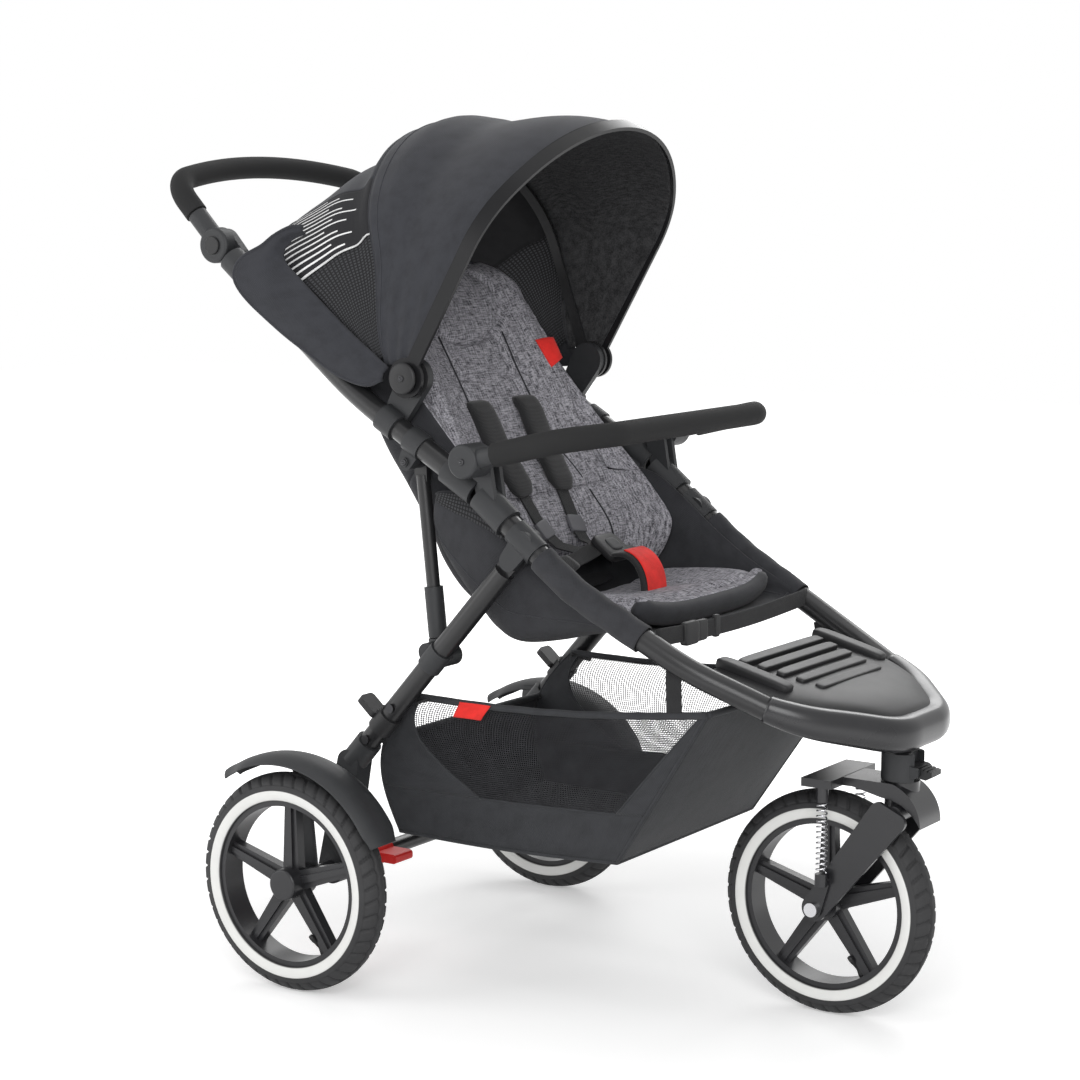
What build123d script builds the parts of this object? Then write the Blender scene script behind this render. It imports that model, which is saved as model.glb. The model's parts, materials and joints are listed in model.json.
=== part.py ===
"""Three-wheeled folding baby stroller, modelled as separate pieces in millimetres.

+X points forward, +Y to the child's left and +Z up.  The origin lies on the ground under the
middle of the stroller.  The side tubes stand in two planes at y = -FRAME_Y and y = +FRAME_Y, and
every pair of left and right pieces is one half mirrored in the XZ plane.
"""
import os
from math import atan2, cos, degrees, hypot, radians, sin, sqrt, tan

from build123d import *

# overall frame
HALF_LENGTH = 541.0
FRAME_Y = 213.0
TUBE_R = 15.0
TUBE_WALL = 2.0
FIT = 0.3
RUN = 0.05

# wheels
WHEEL_R = 146.0
TYRE_HALF_W = 23.5
TYRE_WALL = 4.0
RIM_R = WHEEL_R - 35.3
RIM_HALF_W = 18.0
RIM_WALL = 7.0
HUB_R = 21.0
HUB_HALF_W = 22.0
AXLE_R = 6.0
SPOKES = 5
SPOKE_T = 14.0
SPOKE_RIB_T = 21.0
REAR_AXLE_X = -235.0
REAR_TRACK_Y = 306.0
FRONT_AXLE_X = HALF_LENGTH - WHEEL_R

# side elevation of the frame: the tube ends meet at JOINT, below the fold axis
JOINT_X, JOINT_Z = 0.0, 666.0
FOLD_X, FOLD_Z = 8.0, 711.0
UPPER_BEND = (-197.0, 784.0)
HANDLE_X, HANDLE_Z = -HALF_LENGTH + 116.0, 974.0
CASTING_R = 20.0
CASTING_LENGTH = 52.0
EAR_T = 7.0
EYE_HALF_W = 6.0
PIN_R = 5.0
FOLD_EYE_R = 15.0
EAR_FOOT_R = 13.0
COLLAR_T = 2.5
CLIP_COLLAR_T = 4.0
END_GAP = 4.0

# the front fork stands over the front wheel, and the nose over the fork
SWIVEL_X = FRONT_AXLE_X + 99.0
CROWN_CLEAR = 15.0
CROWN_T = 11.0
HOUSING_HEIGHT = 35.0
CROWN_UNDER = 2 * WHEEL_R + CROWN_CLEAR
CROWN_TOP = CROWN_UNDER + CROWN_T
HOUSING_BOTTOM = CROWN_TOP + 1.0
HOUSING_TOP = HOUSING_BOTTOM + HOUSING_HEIGHT

# lower frame tube, right half, from the joint to the rounded nose
LOWER_BENDS = ((140.0, -FRAME_Y, 553.0), (300.0, -FRAME_Y + 13.0, 466.0),
               (SWIVEL_X - 64.0, -FRAME_Y + 53.0, HOUSING_TOP + 55.0), (SWIVEL_X + 24.0, -60.0, HOUSING_TOP + 26.0))
LOWER_RADII = (330.0, 330.0, 150.0, 78.0)

# rear legs, struts and rear axle
LEG_R = 14.0
LEG_X, LEG_Z = 51.0, 584.0
LEG_EYE_R = 13.0
LEG_START = 20.0
LEG_END_X, LEG_END_Z = -205.0, 295.0
STRUT_X, STRUT_Z = -113.0, 700.0
STRUT_FOOT_X, STRUT_FOOT_Z = -88.0, 469.0
STRUT_R = 9.0
STRUT_Y = FRAME_Y - CASTING_R - STRUT_R - 0.5
STRUT_EYE_R = 11.0
STRUT_EYE_HALF_W = 5.0
SLEEVE_R = 12.5
SLEEVE_LENGTH = 66.0
AXLE_TUBE_R = 11.0
AXLE_TUBE_HALF = 278.0
STUB_END = 320.0
HOUSING_R = 21.0
HOUSING_HALF_W = 16.0
PADDLE = (34.0, 28.0, 9.0)
PADDLE_ALONG = 78.0

# mudguards, arcs about the rear axle measured from +X
GUARD_R = WHEEL_R + 24.0
GUARD_T = 3.0
GUARD_HALF_W = 31.0
GUARD_FROM, GUARD_TO = 26.0, 128.0
GUARD_LIP = 9.0
STAY_ANGLE = 96.0
STAY_W = 26.0
STAY_Y = 271.0
STAY_T = 4.0

# brake pedal on the rear axle
BRAKE_Y = -128.0
BRAKE_HALF_W = 19.0
BRAKE_RING_R = 17.0
BRAKE_REACH_FRONT = 48.0
BRAKE_REACH_REAR = 62.0

# handle
KNUCKLE_R = 24.0
KNUCKLE_IN, KNUCKLE_OUT = 208.3, 228.0
SOCKET_IN = 199.0
BUTTON_R = 12.0
BUTTON_PROUD = 3.0
BUTTON_TRAVEL = 3.0
BUTTON_LENGTH = 7.0
HANDLE_TUBE_R = 10.0
GRIP_R = 15.5
GRIP_X = -HALF_LENGTH + GRIP_R
HANDLE_RISE = 105.0
HANDLE_SLOPE = 13.0
HANDLE_ARCH_R = 760.0
HANDLE_CORNER_R = 45.0
GRIP_START = 58.0
ARM_CLEAR = 3.0

# canopy: every hoop is the same arch about the hub axis, carried outwards by its half width
HUB_X, HUB_Z = -105.0, 809.0
ARCH_SIDE = 190.0
ARCH_CORNER_Y = 92.0
ARCH_LIFT = 145.0
ARCH_REACH = ARCH_LIFT + ARCH_CORNER_Y
ARCH_CROWN = (ARCH_REACH**2 - ARCH_SIDE**2 - ARCH_CORNER_Y**2) / (2 * (ARCH_REACH - ARCH_SIDE))
HUB_R_DISC = 26.0
HOOP_START = 0.0
BOW_ANGLE = 60.0
RIB_ANGLE = 109.0
RIB_LIFT = 124.0
FRONT_STATIONS = ((60.0, 145.0), (70.0, 127.3))
MID_STATIONS = ((70.0, 126.0), (86.0, 108.0), (109.0, RIB_LIFT))
REAR_STATIONS = ((109.0, 127.7), (128.0, 138.2), (147.0, 135.2))
BOW_IN, BOW_OUT = 224.0, 229.0
FRONT_IN, FRONT_OUT = 221.3, 223.7
REAR_IN, REAR_OUT = 218.4, 220.8
MID_IN, MID_OUT = 215.6, 218.0
RIB_IN, RIB_OUT = 211.0, 215.3
CLIP_IN, CLIP_OUT = 200.0, 210.6
BOW_BAND = 20.0
RIB_BAND = 14.0
PANEL_START = 46.0
HUB_PIN_R = 4.0
FLAP_IN, FLAP_OUT = 229.3, 231.7

# bumper bar, on the fold axis outside the frame
BUMPER_Y = 249.5
BUMPER_X, BUMPER_Z = 180.0, 748.0
BUMPER_CORNER_X = 140.0
BUMPER_FLAT = 179.5
BUMPER_TUBE_R = 10.0
BUMPER_GRIP_R = 15.5
BUMPER_HUB_R = 22.0
BUMPER_PIN = 11.0

# nose and footplate
NOSE_REAR_X = 305.0
NOSE_WALL = 4.0
SLOT_COUNT = 4
SLOT_PITCH = 24.0
SLOT_LENGTH = 130.0
SLOT_WIDTH = 9.0

# front fork
STEM_R = 10.0
STEM_BODY_R = 22.0
SWIVEL_HOUSING_R = 27.0
ARM_PIVOT_X, ARM_PIVOT_Z = FRONT_AXLE_X + 105.0, CROWN_UNDER - 27.0
ARM_IN, ARM_OUT = 38.0, 44.0
CROWN_BACK_X = FRONT_AXLE_X - 11.0
SPRING_X, SPRING_Y = FRONT_AXLE_X + 15.0, 54.0
SPRING_TOP, SPRING_BOTTOM = CROWN_UNDER - 19.0, WHEEL_R + 50.0
SPRING_MEAN_R = 6.2
SPRING_WIRE_R = 1.2
SPRING_TURNS = 13
SPRING_SEAT_R = 8.0

# seat and harness
BUCKET_HALF_W = 192.5
BUCKET_WALL = 3.0
PAD_HALF_W = 172.0
SEAT_X, SEAT_Z = 26.0, 494.0
RECLINE_X, RECLINE_Z = -80.0, 660.0
BACK_ANGLE = 119.0
BACK_LENGTH = 330.0
BACK_PAD_T = 30.0
BOARD_T = 5.0
WING_ALONG = 92.0
WING_HALF = FRAME_Y - TUBE_R - CLIP_COLLAR_T - FIT
STRAP_T = 2.4

# basket
BASKET_WALL = 3.0
BASKET_RIM = ((-122.0, 388.0), (322.0, 412.0))
BASKET_BASE = ((-158.0, 197.0), (184.0, 203.0))
BASKET_RIM_HALF = 192.0
BASKET_BASE_HALF = 176.0

BOLT_HEAD_R = 6.0
BOLT_HEAD_T = 4.0

os.makedirs("parts", exist_ok=True)


def save(piece, name):
    """Label a finished piece and write it under its own name."""
    piece.label = name
    export_step(piece, f"parts/{name}.step")


def mirrored(piece):
    """The right-hand piece together with its left-hand image."""
    with BuildPart() as pair:
        add(piece)
        mirror(about=Plane.XZ)
    return pair.part


def side_plane(y, x=0.0, z=0.0):
    """A sketch plane parallel to XZ at height y, whose second axis points up."""
    return Plane(origin=(x, y, z), x_dir=(1, 0, 0), z_dir=(0, -1, 0))


def polar(x, z, radius, angle):
    """The point at a radius and angle from (x, z) in side elevation."""
    return x + radius * cos(radians(angle)), z + radius * sin(radians(angle))


def bent_tube(points, radii, outer, inner=0.0):
    """A round tube carried along straight runs joined by tangent arcs."""
    with BuildPart() as tube:
        with BuildLine() as path:
            FilletPolyline(*points, radius=radii)
        with BuildSketch(Plane(origin=path.line @ 0, z_dir=path.line % 0)):
            Circle(outer)
            if inner:
                Circle(inner, mode=Mode.SUBTRACT)
        sweep()
    return tube.part


def rod(start, end, outer, inner=0.0):
    """A straight round bar or tube between two points."""
    axis = Vector(*end) - Vector(*start)
    with BuildPart() as bar:
        with BuildSketch(Plane(origin=start, z_dir=axis)):
            Circle(outer)
            if inner:
                Circle(inner, mode=Mode.SUBTRACT)
        extrude(amount=axis.length)
    return bar.part


def link(first, first_r, second, second_r, y_from, y_to):
    """A flat plate between two round ends, seen in side elevation."""
    with BuildPart() as plate:
        with BuildSketch(side_plane(max(y_from, y_to))):
            with Locations(first):
                Circle(first_r)
            with Locations(second):
                Circle(second_r)
            make_hull()
        extrude(amount=abs(y_to - y_from))
    return plate.part


def disc(x, z, radius, y_from, y_to):
    """A round disc whose axis runs across the stroller."""
    return rod((x, min(y_from, y_to), z), (x, max(y_from, y_to), z), radius)


# wheels


def tyre(centre):
    """A hollow tyre, open towards the rim."""
    section = Plane(origin=centre, x_dir=(0, 1, 0), z_dir=(1, 0, 0))
    middle = WHEEL_R - TYRE_HALF_W
    with BuildPart() as ring:
        with BuildSketch(section):
            with Locations((0, middle)):
                Circle(TYRE_HALF_W)
                Circle(TYRE_HALF_W - TYRE_WALL, mode=Mode.SUBTRACT)
            with Locations((0, RIM_R + FIT - TYRE_HALF_W)):
                Rectangle(3 * TYRE_HALF_W, 2 * TYRE_HALF_W, mode=Mode.SUBTRACT)
        revolve(axis=Axis(centre, (0, 1, 0)))
    return ring.part


def rim(centre, cap_side=0):
    """A moulded wheel with a channel barrel, ribbed spokes and a hub bored for its axle."""
    section = Plane(origin=centre, x_dir=(0, 1, 0), z_dir=(1, 0, 0))
    face = Plane(origin=centre, x_dir=(1, 0, 0), z_dir=(0, -1, 0))
    barrel_in = RIM_R - RIM_WALL
    with BuildPart() as wheel:
        with BuildSketch(section):
            with Locations((0, RIM_R - RIM_WALL / 2)):
                Rectangle(2 * RIM_HALF_W, RIM_WALL)
            with Locations((0, RIM_R)):
                Rectangle(2 * RIM_HALF_W - 10, RIM_WALL, mode=Mode.SUBTRACT)
            with Locations((0, HUB_R / 2)):
                Rectangle(2 * HUB_HALF_W, HUB_R)
        revolve(axis=Axis(centre, (0, 1, 0)))
        for width, thick in ((13.0, SPOKE_T), (5.0, SPOKE_RIB_T)):
            with BuildSketch(face):
                with PolarLocations(0, SPOKES, start_angle=90):
                    Polygon((HUB_R - 4, -width), (barrel_in + 1, -0.7 * width), (barrel_in + 1, 0.7 * width),
                            (HUB_R - 4, width), align=None)
            extrude(amount=thick / 2, both=True)
        if cap_side:
            with BuildSketch(face.offset(-cap_side * HUB_HALF_W)):
                Circle(HUB_R)
            extrude(amount=-cap_side * 5.0)
            fillet(wheel.edges().filter_by(GeomType.CIRCLE).sort_by(Axis.Y)[-1 if cap_side > 0 else 0], 3.0)
        bore_half = HUB_HALF_W + 1
        with BuildSketch(face.offset(-bore_half if cap_side > 0 else bore_half)):
            Circle(AXLE_R + RUN)
    bore = disc(centre[0], centre[2], AXLE_R + RUN, centre[1] - HUB_HALF_W - 1, centre[1] + HUB_HALF_W + 1)
    if cap_side:
        inner = centre[1] - cap_side * (HUB_HALF_W + 1)
        outer = cap_side * (STUB_END + FIT)
        bore = disc(centre[0], centre[2], AXLE_R + RUN, inner, outer)
    with BuildPart() as bored:
        add(wheel.part)
        add(bore, mode=Mode.SUBTRACT)
    return bored.part


for name, centre, cap in (
    ("rear_{}_right", (REAR_AXLE_X, -REAR_TRACK_Y, WHEEL_R), -1),
    ("rear_{}_left", (REAR_AXLE_X, REAR_TRACK_Y, WHEEL_R), 1),
    ("front_{}", (FRONT_AXLE_X, 0.0, WHEEL_R), 0),
):
    save(tyre(centre), name.format("tyre"))
    save(rim(centre, cap), name.format("rim"))


# lower frame tube: one bent tube from casting to casting around the nose

joint = Vector(JOINT_X, -FRAME_Y, JOINT_Z)
lower_dir = (Vector(*LOWER_BENDS[0]) - joint).normalized()
upper_dir = (Vector(UPPER_BEND[0], -FRAME_Y, UPPER_BEND[1]) - joint).normalized()
lower_start = joint + lower_dir * END_GAP
upper_start = joint + upper_dir * END_GAP
left_bends = [(x, -y, z) for x, y, z in reversed(LOWER_BENDS)]
lower_route = [tuple(lower_start), *LOWER_BENDS, *left_bends, (lower_start.X, FRAME_Y, lower_start.Z)]
lower_radii = [*LOWER_RADII, *reversed(LOWER_RADII)]
lower_frame_tube = bent_tube(lower_route, lower_radii, TUBE_R, TUBE_R - TUBE_WALL)
save(lower_frame_tube, "lower_frame_tube")
lower_envelope = bent_tube(lower_route, lower_radii, TUBE_R + FIT)

# upper tubes, from the fold castings to the handle sockets

handle_axis = Vector(HANDLE_X, -FRAME_Y, HANDLE_Z)
upper_bend = Vector(UPPER_BEND[0], -FRAME_Y, UPPER_BEND[1])
upper_top_dir = (handle_axis - upper_bend).normalized()
upper_end = handle_axis - upper_top_dir * (KNUCKLE_R + ARM_CLEAR)
upper_tube = bent_tube([tuple(upper_start), tuple(upper_bend), tuple(upper_end)], [600.0], TUBE_R, TUBE_R - TUBE_WALL)
save(upper_tube, "upper_tube_right")
with BuildPart() as upper_tube_left:
    add(mirror(upper_tube, about=Plane.XZ, mode=Mode.PRIVATE))
save(upper_tube_left.part, "upper_tube_left")


# fold castings: a sleeve on each tube end, and ears that meet on the fold axis above the tubes


def casting(start, direction, other, ears):
    """A sleeve round a tube end with plates that rise to the fold axis.

    Args:
        start: point on the tube axis where the sleeve begins.
        direction: unit vector along the tube.
        other: unit vector along the tube on the far side of the joint, whose sleeve stays clear.
        ears: list of (inner y, outer y) for the plates that carry the fold pin.
    """
    middle = start + direction * CASTING_LENGTH * 0.42
    with BuildPart() as sleeve:
        add(rod(tuple(start), tuple(start + direction * CASTING_LENGTH), CASTING_R))
        for y_from, y_to in ears:
            add(link((FOLD_X, FOLD_Z), FOLD_EYE_R, (middle.X, middle.Z), EAR_FOOT_R, y_from, y_to))
        add(rod(tuple(start - direction * 1.0), tuple(start + direction * (CASTING_LENGTH + 1)), TUBE_R + FIT / 10),
            mode=Mode.SUBTRACT)
        far_start = joint + other * (END_GAP - 1.0)
        add(rod(tuple(far_start), tuple(far_start + other * (CASTING_LENGTH + 30)), CASTING_R + 1.0), mode=Mode.SUBTRACT)
    return sleeve.part


eye_in, eye_out = -FRAME_Y - EYE_HALF_W, -FRAME_Y + EYE_HALF_W
lower_ears = [(eye_in - FIT - EAR_T, eye_in - FIT), (eye_out + FIT, eye_out + FIT + EAR_T)]
with BuildPart() as lower_casting:
    add(casting(lower_start, lower_dir, upper_dir, lower_ears))
    add(rod((FOLD_X, lower_ears[0][0] - BUMPER_PIN, FOLD_Z), (FOLD_X, lower_ears[1][1], FOLD_Z), PIN_R))
with BuildPart() as upper_casting:
    add(casting(upper_start, upper_dir, lower_dir, [(eye_in, eye_out)]))
    add(rod((FOLD_X, eye_in - 1, FOLD_Z), (FOLD_X, eye_out + 1, FOLD_Z), PIN_R + RUN), mode=Mode.SUBTRACT)

save(mirrored(lower_casting.part), "fold_castings_lower")
save(mirrored(upper_casting.part), "fold_castings_upper")


# leg sockets clamp the lower tube and carry the rear legs on their own pins

along = (Vector(LEG_X, -FRAME_Y, LEG_Z) - joint).dot(lower_dir)
clamp_mid = joint + lower_dir * along
with BuildPart() as leg_socket:
    add(rod(tuple(clamp_mid - lower_dir * 22), tuple(clamp_mid + lower_dir * 22), TUBE_R + COLLAR_T))
    for y_from, y_to in lower_ears:
        add(link((LEG_X, LEG_Z), LEG_EYE_R, (clamp_mid.X, clamp_mid.Z), TUBE_R + 1, y_from, y_to))
    with BuildSketch(side_plane(eye_out + FIT)):
        with Locations((LEG_X, LEG_Z)):
            Circle(LEG_EYE_R + 1.0)
    extrude(amount=2 * EYE_HALF_W + 2 * FIT, mode=Mode.SUBTRACT)
    add(rod(tuple(clamp_mid - lower_dir * 60), tuple(clamp_mid + lower_dir * 60), TUBE_R + FIT / 10),
        mode=Mode.SUBTRACT)
    add(rod((LEG_X, lower_ears[0][0], LEG_Z), (LEG_X, lower_ears[1][1], LEG_Z), PIN_R))
save(mirrored(leg_socket.part), "leg_sockets")

# rear legs

leg_top = Vector(LEG_X, -FRAME_Y, LEG_Z)
leg_foot = Vector(LEG_END_X, -FRAME_Y, LEG_END_Z)
leg_dir = (leg_foot - leg_top).normalized()
leg_start = leg_top + leg_dir * LEG_START
with BuildPart() as leg:
    add(rod(tuple(leg_start), tuple(leg_foot), LEG_R, LEG_R - TUBE_WALL))
    add(rod(tuple(leg_start), tuple(leg_start + leg_dir * 26), LEG_R))
    neck = leg_top + leg_dir * (LEG_START + 6)
    add(link((LEG_X, LEG_Z), LEG_EYE_R, (neck.X, neck.Z), LEG_EYE_R - 2, eye_in, eye_out))
    add(rod((LEG_X, eye_in - 1, LEG_Z), (LEG_X, eye_out + 1, LEG_Z), PIN_R + RUN), mode=Mode.SUBTRACT)
save(leg.part, "leg_tube_right")
with BuildPart() as leg_left:
    add(mirror(leg.part, about=Plane.XZ, mode=Mode.PRIVATE))
save(leg_left.part, "leg_tube_left")

# rear axle with stub ends for the wheels

with BuildPart() as rear_axle:
    add(rod((REAR_AXLE_X, -AXLE_TUBE_HALF, WHEEL_R), (REAR_AXLE_X, AXLE_TUBE_HALF, WHEEL_R), AXLE_TUBE_R))
    add(rod((REAR_AXLE_X, -STUB_END, WHEEL_R), (REAR_AXLE_X, STUB_END, WHEEL_R), AXLE_R))
save(rear_axle.part, "rear_axle")

# axle housings join the feet of the legs to the axle, and carry the strut seats higher up the leg

socket_top = leg_foot - leg_dir * 38
with BuildPart() as axle_housing:
    add(link((REAR_AXLE_X, WHEEL_R), HOUSING_R, (LEG_END_X, LEG_END_Z), LEG_R + 3,
             -FRAME_Y - HOUSING_HALF_W, -FRAME_Y + HOUSING_HALF_W))
    add(rod(tuple(leg_foot), tuple(socket_top), LEG_R + 4))
    add(rod(tuple(leg_foot + leg_dir * 4), tuple(socket_top - leg_dir), LEG_R + FIT / 10), mode=Mode.SUBTRACT)
    add(disc(REAR_AXLE_X, WHEEL_R, AXLE_TUBE_R + RUN, -FRAME_Y - 30, -FRAME_Y + 30), mode=Mode.SUBTRACT)
save(mirrored(axle_housing.part), "axle_housings")

strut_top = Vector(STRUT_X, -STRUT_Y, STRUT_Z)
strut_foot = Vector(STRUT_FOOT_X, -STRUT_Y, STRUT_FOOT_Z)
strut_dir = (strut_foot - strut_top).normalized()
seat_along = (strut_foot - leg_top).dot(leg_dir)
seat_mid = Vector(leg_top.X, -FRAME_Y, leg_top.Z) + leg_dir * (seat_along + 6)
seat_top = strut_foot + strut_dir * 1.0
with BuildPart() as strut_seat:
    add(rod(tuple(seat_mid - leg_dir * 16), tuple(seat_mid + leg_dir * 16), LEG_R + COLLAR_T))
    cup = seat_top + strut_dir * 16
    add(link((cup.X, cup.Z), SLEEVE_R, (seat_mid.X, seat_mid.Z), LEG_R, -FRAME_Y, -STRUT_Y + SLEEVE_R - 1))
    with BuildSketch(Plane(origin=tuple(seat_top), z_dir=tuple(strut_dir * -1))):
        Circle(SLEEVE_R + 6)
    extrude(amount=4 * SLEEVE_R, mode=Mode.SUBTRACT)
    add(rod(tuple(seat_mid - leg_dir * 60), tuple(seat_mid + leg_dir * 60), LEG_R + FIT / 10), mode=Mode.SUBTRACT)
save(mirrored(strut_seat.part), "strut_seats")

# paddles stand out behind the legs

paddle_mid = leg_foot - leg_dir * PADDLE_ALONG
back_normal = Vector(leg_dir.Z, 0, -leg_dir.X)
paddle_centre = paddle_mid + back_normal * (LEG_R + PADDLE[0] / 2 - 2)
with BuildPart() as paddle:
    with BuildSketch(Plane(origin=tuple(paddle_centre - leg_dir * PADDLE[2] / 2), x_dir=tuple(back_normal),
                           z_dir=tuple(leg_dir))):
        RectangleRounded(PADDLE[0], PADDLE[1], 6)
    extrude(amount=PADDLE[2])
    add(rod(tuple(paddle_mid - leg_dir * 14), tuple(paddle_mid + leg_dir * 14), LEG_R + 3))
    add(rod(tuple(paddle_mid - leg_dir * 40), tuple(paddle_mid + leg_dir * 40), LEG_R + FIT / 10), mode=Mode.SUBTRACT)
save(mirrored(paddle.part), "leg_paddles")

# bolt heads on the outer side of the legs

with BuildPart() as leg_bolts:
    for back in (40.0 + BOLT_HEAD_R, 108.0):
        spot = leg_foot - leg_dir * back
        add(disc(spot.X, spot.Z, BOLT_HEAD_R, -FRAME_Y - LEG_R - BOLT_HEAD_T, -FRAME_Y - LEG_R + 1.0))
    add(rod(tuple(leg_top), tuple(leg_foot), LEG_R + FIT / 10), mode=Mode.SUBTRACT)
save(mirrored(leg_bolts.part), "leg_bolts")

# struts: an eye under the upper tube, a tube and a plastic sleeve that stands on the leg

with BuildPart() as strut:
    neck = strut_top + strut_dir * 24
    add(link((STRUT_X, STRUT_Z), STRUT_EYE_R, (neck.X, neck.Z), STRUT_R, -STRUT_Y - STRUT_EYE_HALF_W,
             -STRUT_Y + STRUT_EYE_HALF_W))
    add(rod(tuple(strut_top + strut_dir * 20), tuple(strut_foot - strut_dir * 8), STRUT_R))
    add(disc(STRUT_X, STRUT_Z, PIN_R + RUN, -STRUT_Y - 9, -STRUT_Y + 9), mode=Mode.SUBTRACT)
save(mirrored(strut.part), "strut_tubes")
with BuildPart() as strut_sleeve:
    add(rod(tuple(strut_foot), tuple(strut_foot - strut_dir * SLEEVE_LENGTH), SLEEVE_R))
    add(rod(tuple(strut_foot - strut_dir * 8), tuple(strut_foot - strut_dir * 100), STRUT_R + FIT / 10),
        mode=Mode.SUBTRACT)
    chamfer(strut_sleeve.edges().filter_by(GeomType.CIRCLE).sort_by(Axis.Z)[-1], 1.5)
save(mirrored(strut_sleeve.part), "strut_sleeves")

tube_above = upper_start + upper_dir * (strut_top - upper_start).dot(upper_dir)
with BuildPart() as strut_bracket:
    add(link((STRUT_X, STRUT_Z), STRUT_EYE_R, (tube_above.X, tube_above.Z), TUBE_R, -FRAME_Y - EYE_HALF_W - 1,
             -FRAME_Y + EYE_HALF_W + 1))
    add(rod(tuple(tube_above - upper_dir * 13), tuple(tube_above + upper_dir * 13), TUBE_R + COLLAR_T))
    add(disc(STRUT_X, STRUT_Z, STRUT_EYE_R - 1, -FRAME_Y, -STRUT_Y - STRUT_EYE_HALF_W - FIT))
    add(disc(STRUT_X, STRUT_Z, PIN_R, -FRAME_Y, -STRUT_Y + STRUT_EYE_HALF_W))
    add(disc(STRUT_X, STRUT_Z, BOLT_HEAD_R, -FRAME_Y - EYE_HALF_W - 1, -FRAME_Y - EYE_HALF_W - BOLT_HEAD_T))
    add(rod(tuple(tube_above - upper_dir * 60), tuple(tube_above + upper_dir * 60), TUBE_R + FIT / 10),
        mode=Mode.SUBTRACT)
save(mirrored(strut_bracket.part), "strut_brackets")

# mudguards with turned-down lips, each on a stay that clips round the axle tube


def guard_arc(inner, outer, y_from, y_to):
    """A band about the rear axle between the mudguard's two end angles."""
    with BuildPart() as band:
        with BuildSketch(Plane(origin=(REAR_AXLE_X, 0, WHEEL_R), x_dir=(0, 1, 0), z_dir=(1, 0, 0))):
            with Locations(((y_from + y_to) / 2, (inner + outer) / 2)):
                Rectangle(abs(y_to - y_from), outer - inner)
        revolve(axis=Axis((REAR_AXLE_X, 0, WHEEL_R), (0, -1, 0)), revolution_arc=GUARD_TO - GUARD_FROM)
    turned = band.part.rotate(Axis((REAR_AXLE_X, 0, WHEEL_R), (0, -1, 0)), GUARD_FROM - 90.0)
    return turned


with BuildPart() as mudguard:
    outer_y, inner_y = -REAR_TRACK_Y - GUARD_HALF_W, -REAR_TRACK_Y + GUARD_HALF_W
    add(guard_arc(GUARD_R - GUARD_T, GUARD_R, outer_y, inner_y))
    add(guard_arc(GUARD_R - GUARD_LIP, GUARD_R, outer_y, outer_y + GUARD_T))
    add(guard_arc(GUARD_R - GUARD_LIP, GUARD_R, inner_y - GUARD_T, inner_y))
    stay_top = polar(REAR_AXLE_X, WHEEL_R, GUARD_R - GUARD_T, STAY_ANGLE)
    stay_y = -STAY_Y
    add(link((REAR_AXLE_X, WHEEL_R), AXLE_TUBE_R + 5, stay_top, STAY_W / 2, stay_y - STAY_T / 2, stay_y + STAY_T / 2))
    with BuildSketch(side_plane(inner_y)):
        with Locations(stay_top):
            Circle(STAY_W / 2)
    extrude(amount=-(STAY_T + abs(inner_y - stay_y)) + 0.5)
    with BuildSketch(side_plane(0)):
        with Locations((REAR_AXLE_X, WHEEL_R)):
            Circle(GUARD_R + 80)
            Circle(GUARD_R, mode=Mode.SUBTRACT)
    extrude(amount=400, mode=Mode.SUBTRACT)
    add(disc(REAR_AXLE_X, WHEEL_R, AXLE_TUBE_R + RUN, stay_y - 20, stay_y + 20), mode=Mode.SUBTRACT)
save(mudguard.part, "mudguard_right")
with BuildPart() as mudguard_left:
    add(mirror(mudguard.part, about=Plane.XZ, mode=Mode.PRIVATE))
save(mudguard_left.part, "mudguard_left")

# brake pedal: a rocker on the axle tube with a front tab and a rear tread

with BuildPart() as brake_pedal:
    brake_face = side_plane(BRAKE_Y + BRAKE_HALF_W, REAR_AXLE_X, WHEEL_R)
    with BuildSketch(brake_face):
        Circle(BRAKE_RING_R)
        with Locations((BRAKE_REACH_FRONT / 2, 0)):
            RectangleRounded(BRAKE_REACH_FRONT, 13, 5)
        with Locations((-BRAKE_REACH_REAR / 2, 2)):
            RectangleRounded(BRAKE_REACH_REAR, 12, 5)
        Circle(AXLE_TUBE_R + RUN, mode=Mode.SUBTRACT)
    extrude(amount=2 * BRAKE_HALF_W)
save(brake_pedal.part, "brake_pedal")

# handle sockets on the upper tubes: a sleeve, and a cheek with the hinge pin inside the knuckle

socket_foot = upper_end - upper_top_dir * 36
with BuildPart() as handle_socket:
    add(rod(tuple(upper_end), tuple(socket_foot), TUBE_R + 3.5))
    add(link((HANDLE_X, HANDLE_Z), KNUCKLE_R - 2, (upper_end.X, upper_end.Z), KNUCKLE_R - 6, -SOCKET_IN + 3,
             -KNUCKLE_IN + FIT))
    with BuildSketch(side_plane(-KNUCKLE_IN + FIT)):
        with Locations((HANDLE_X, HANDLE_Z)):
            Circle(KNUCKLE_R + 1.5)
    extrude(amount=60, mode=Mode.SUBTRACT)
    add(rod(tuple(upper_end + upper_top_dir * 0.5), tuple(socket_foot - upper_top_dir * 5), TUBE_R + FIT / 10),
        mode=Mode.SUBTRACT)
    add(disc(HANDLE_X, HANDLE_Z, PIN_R, -KNUCKLE_IN + 2, -KNUCKLE_OUT + 9))
save(mirrored(handle_socket.part), "handle_sockets")

# handle bar: a bowed U between two round knuckles, with a foam grip over its middle

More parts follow.
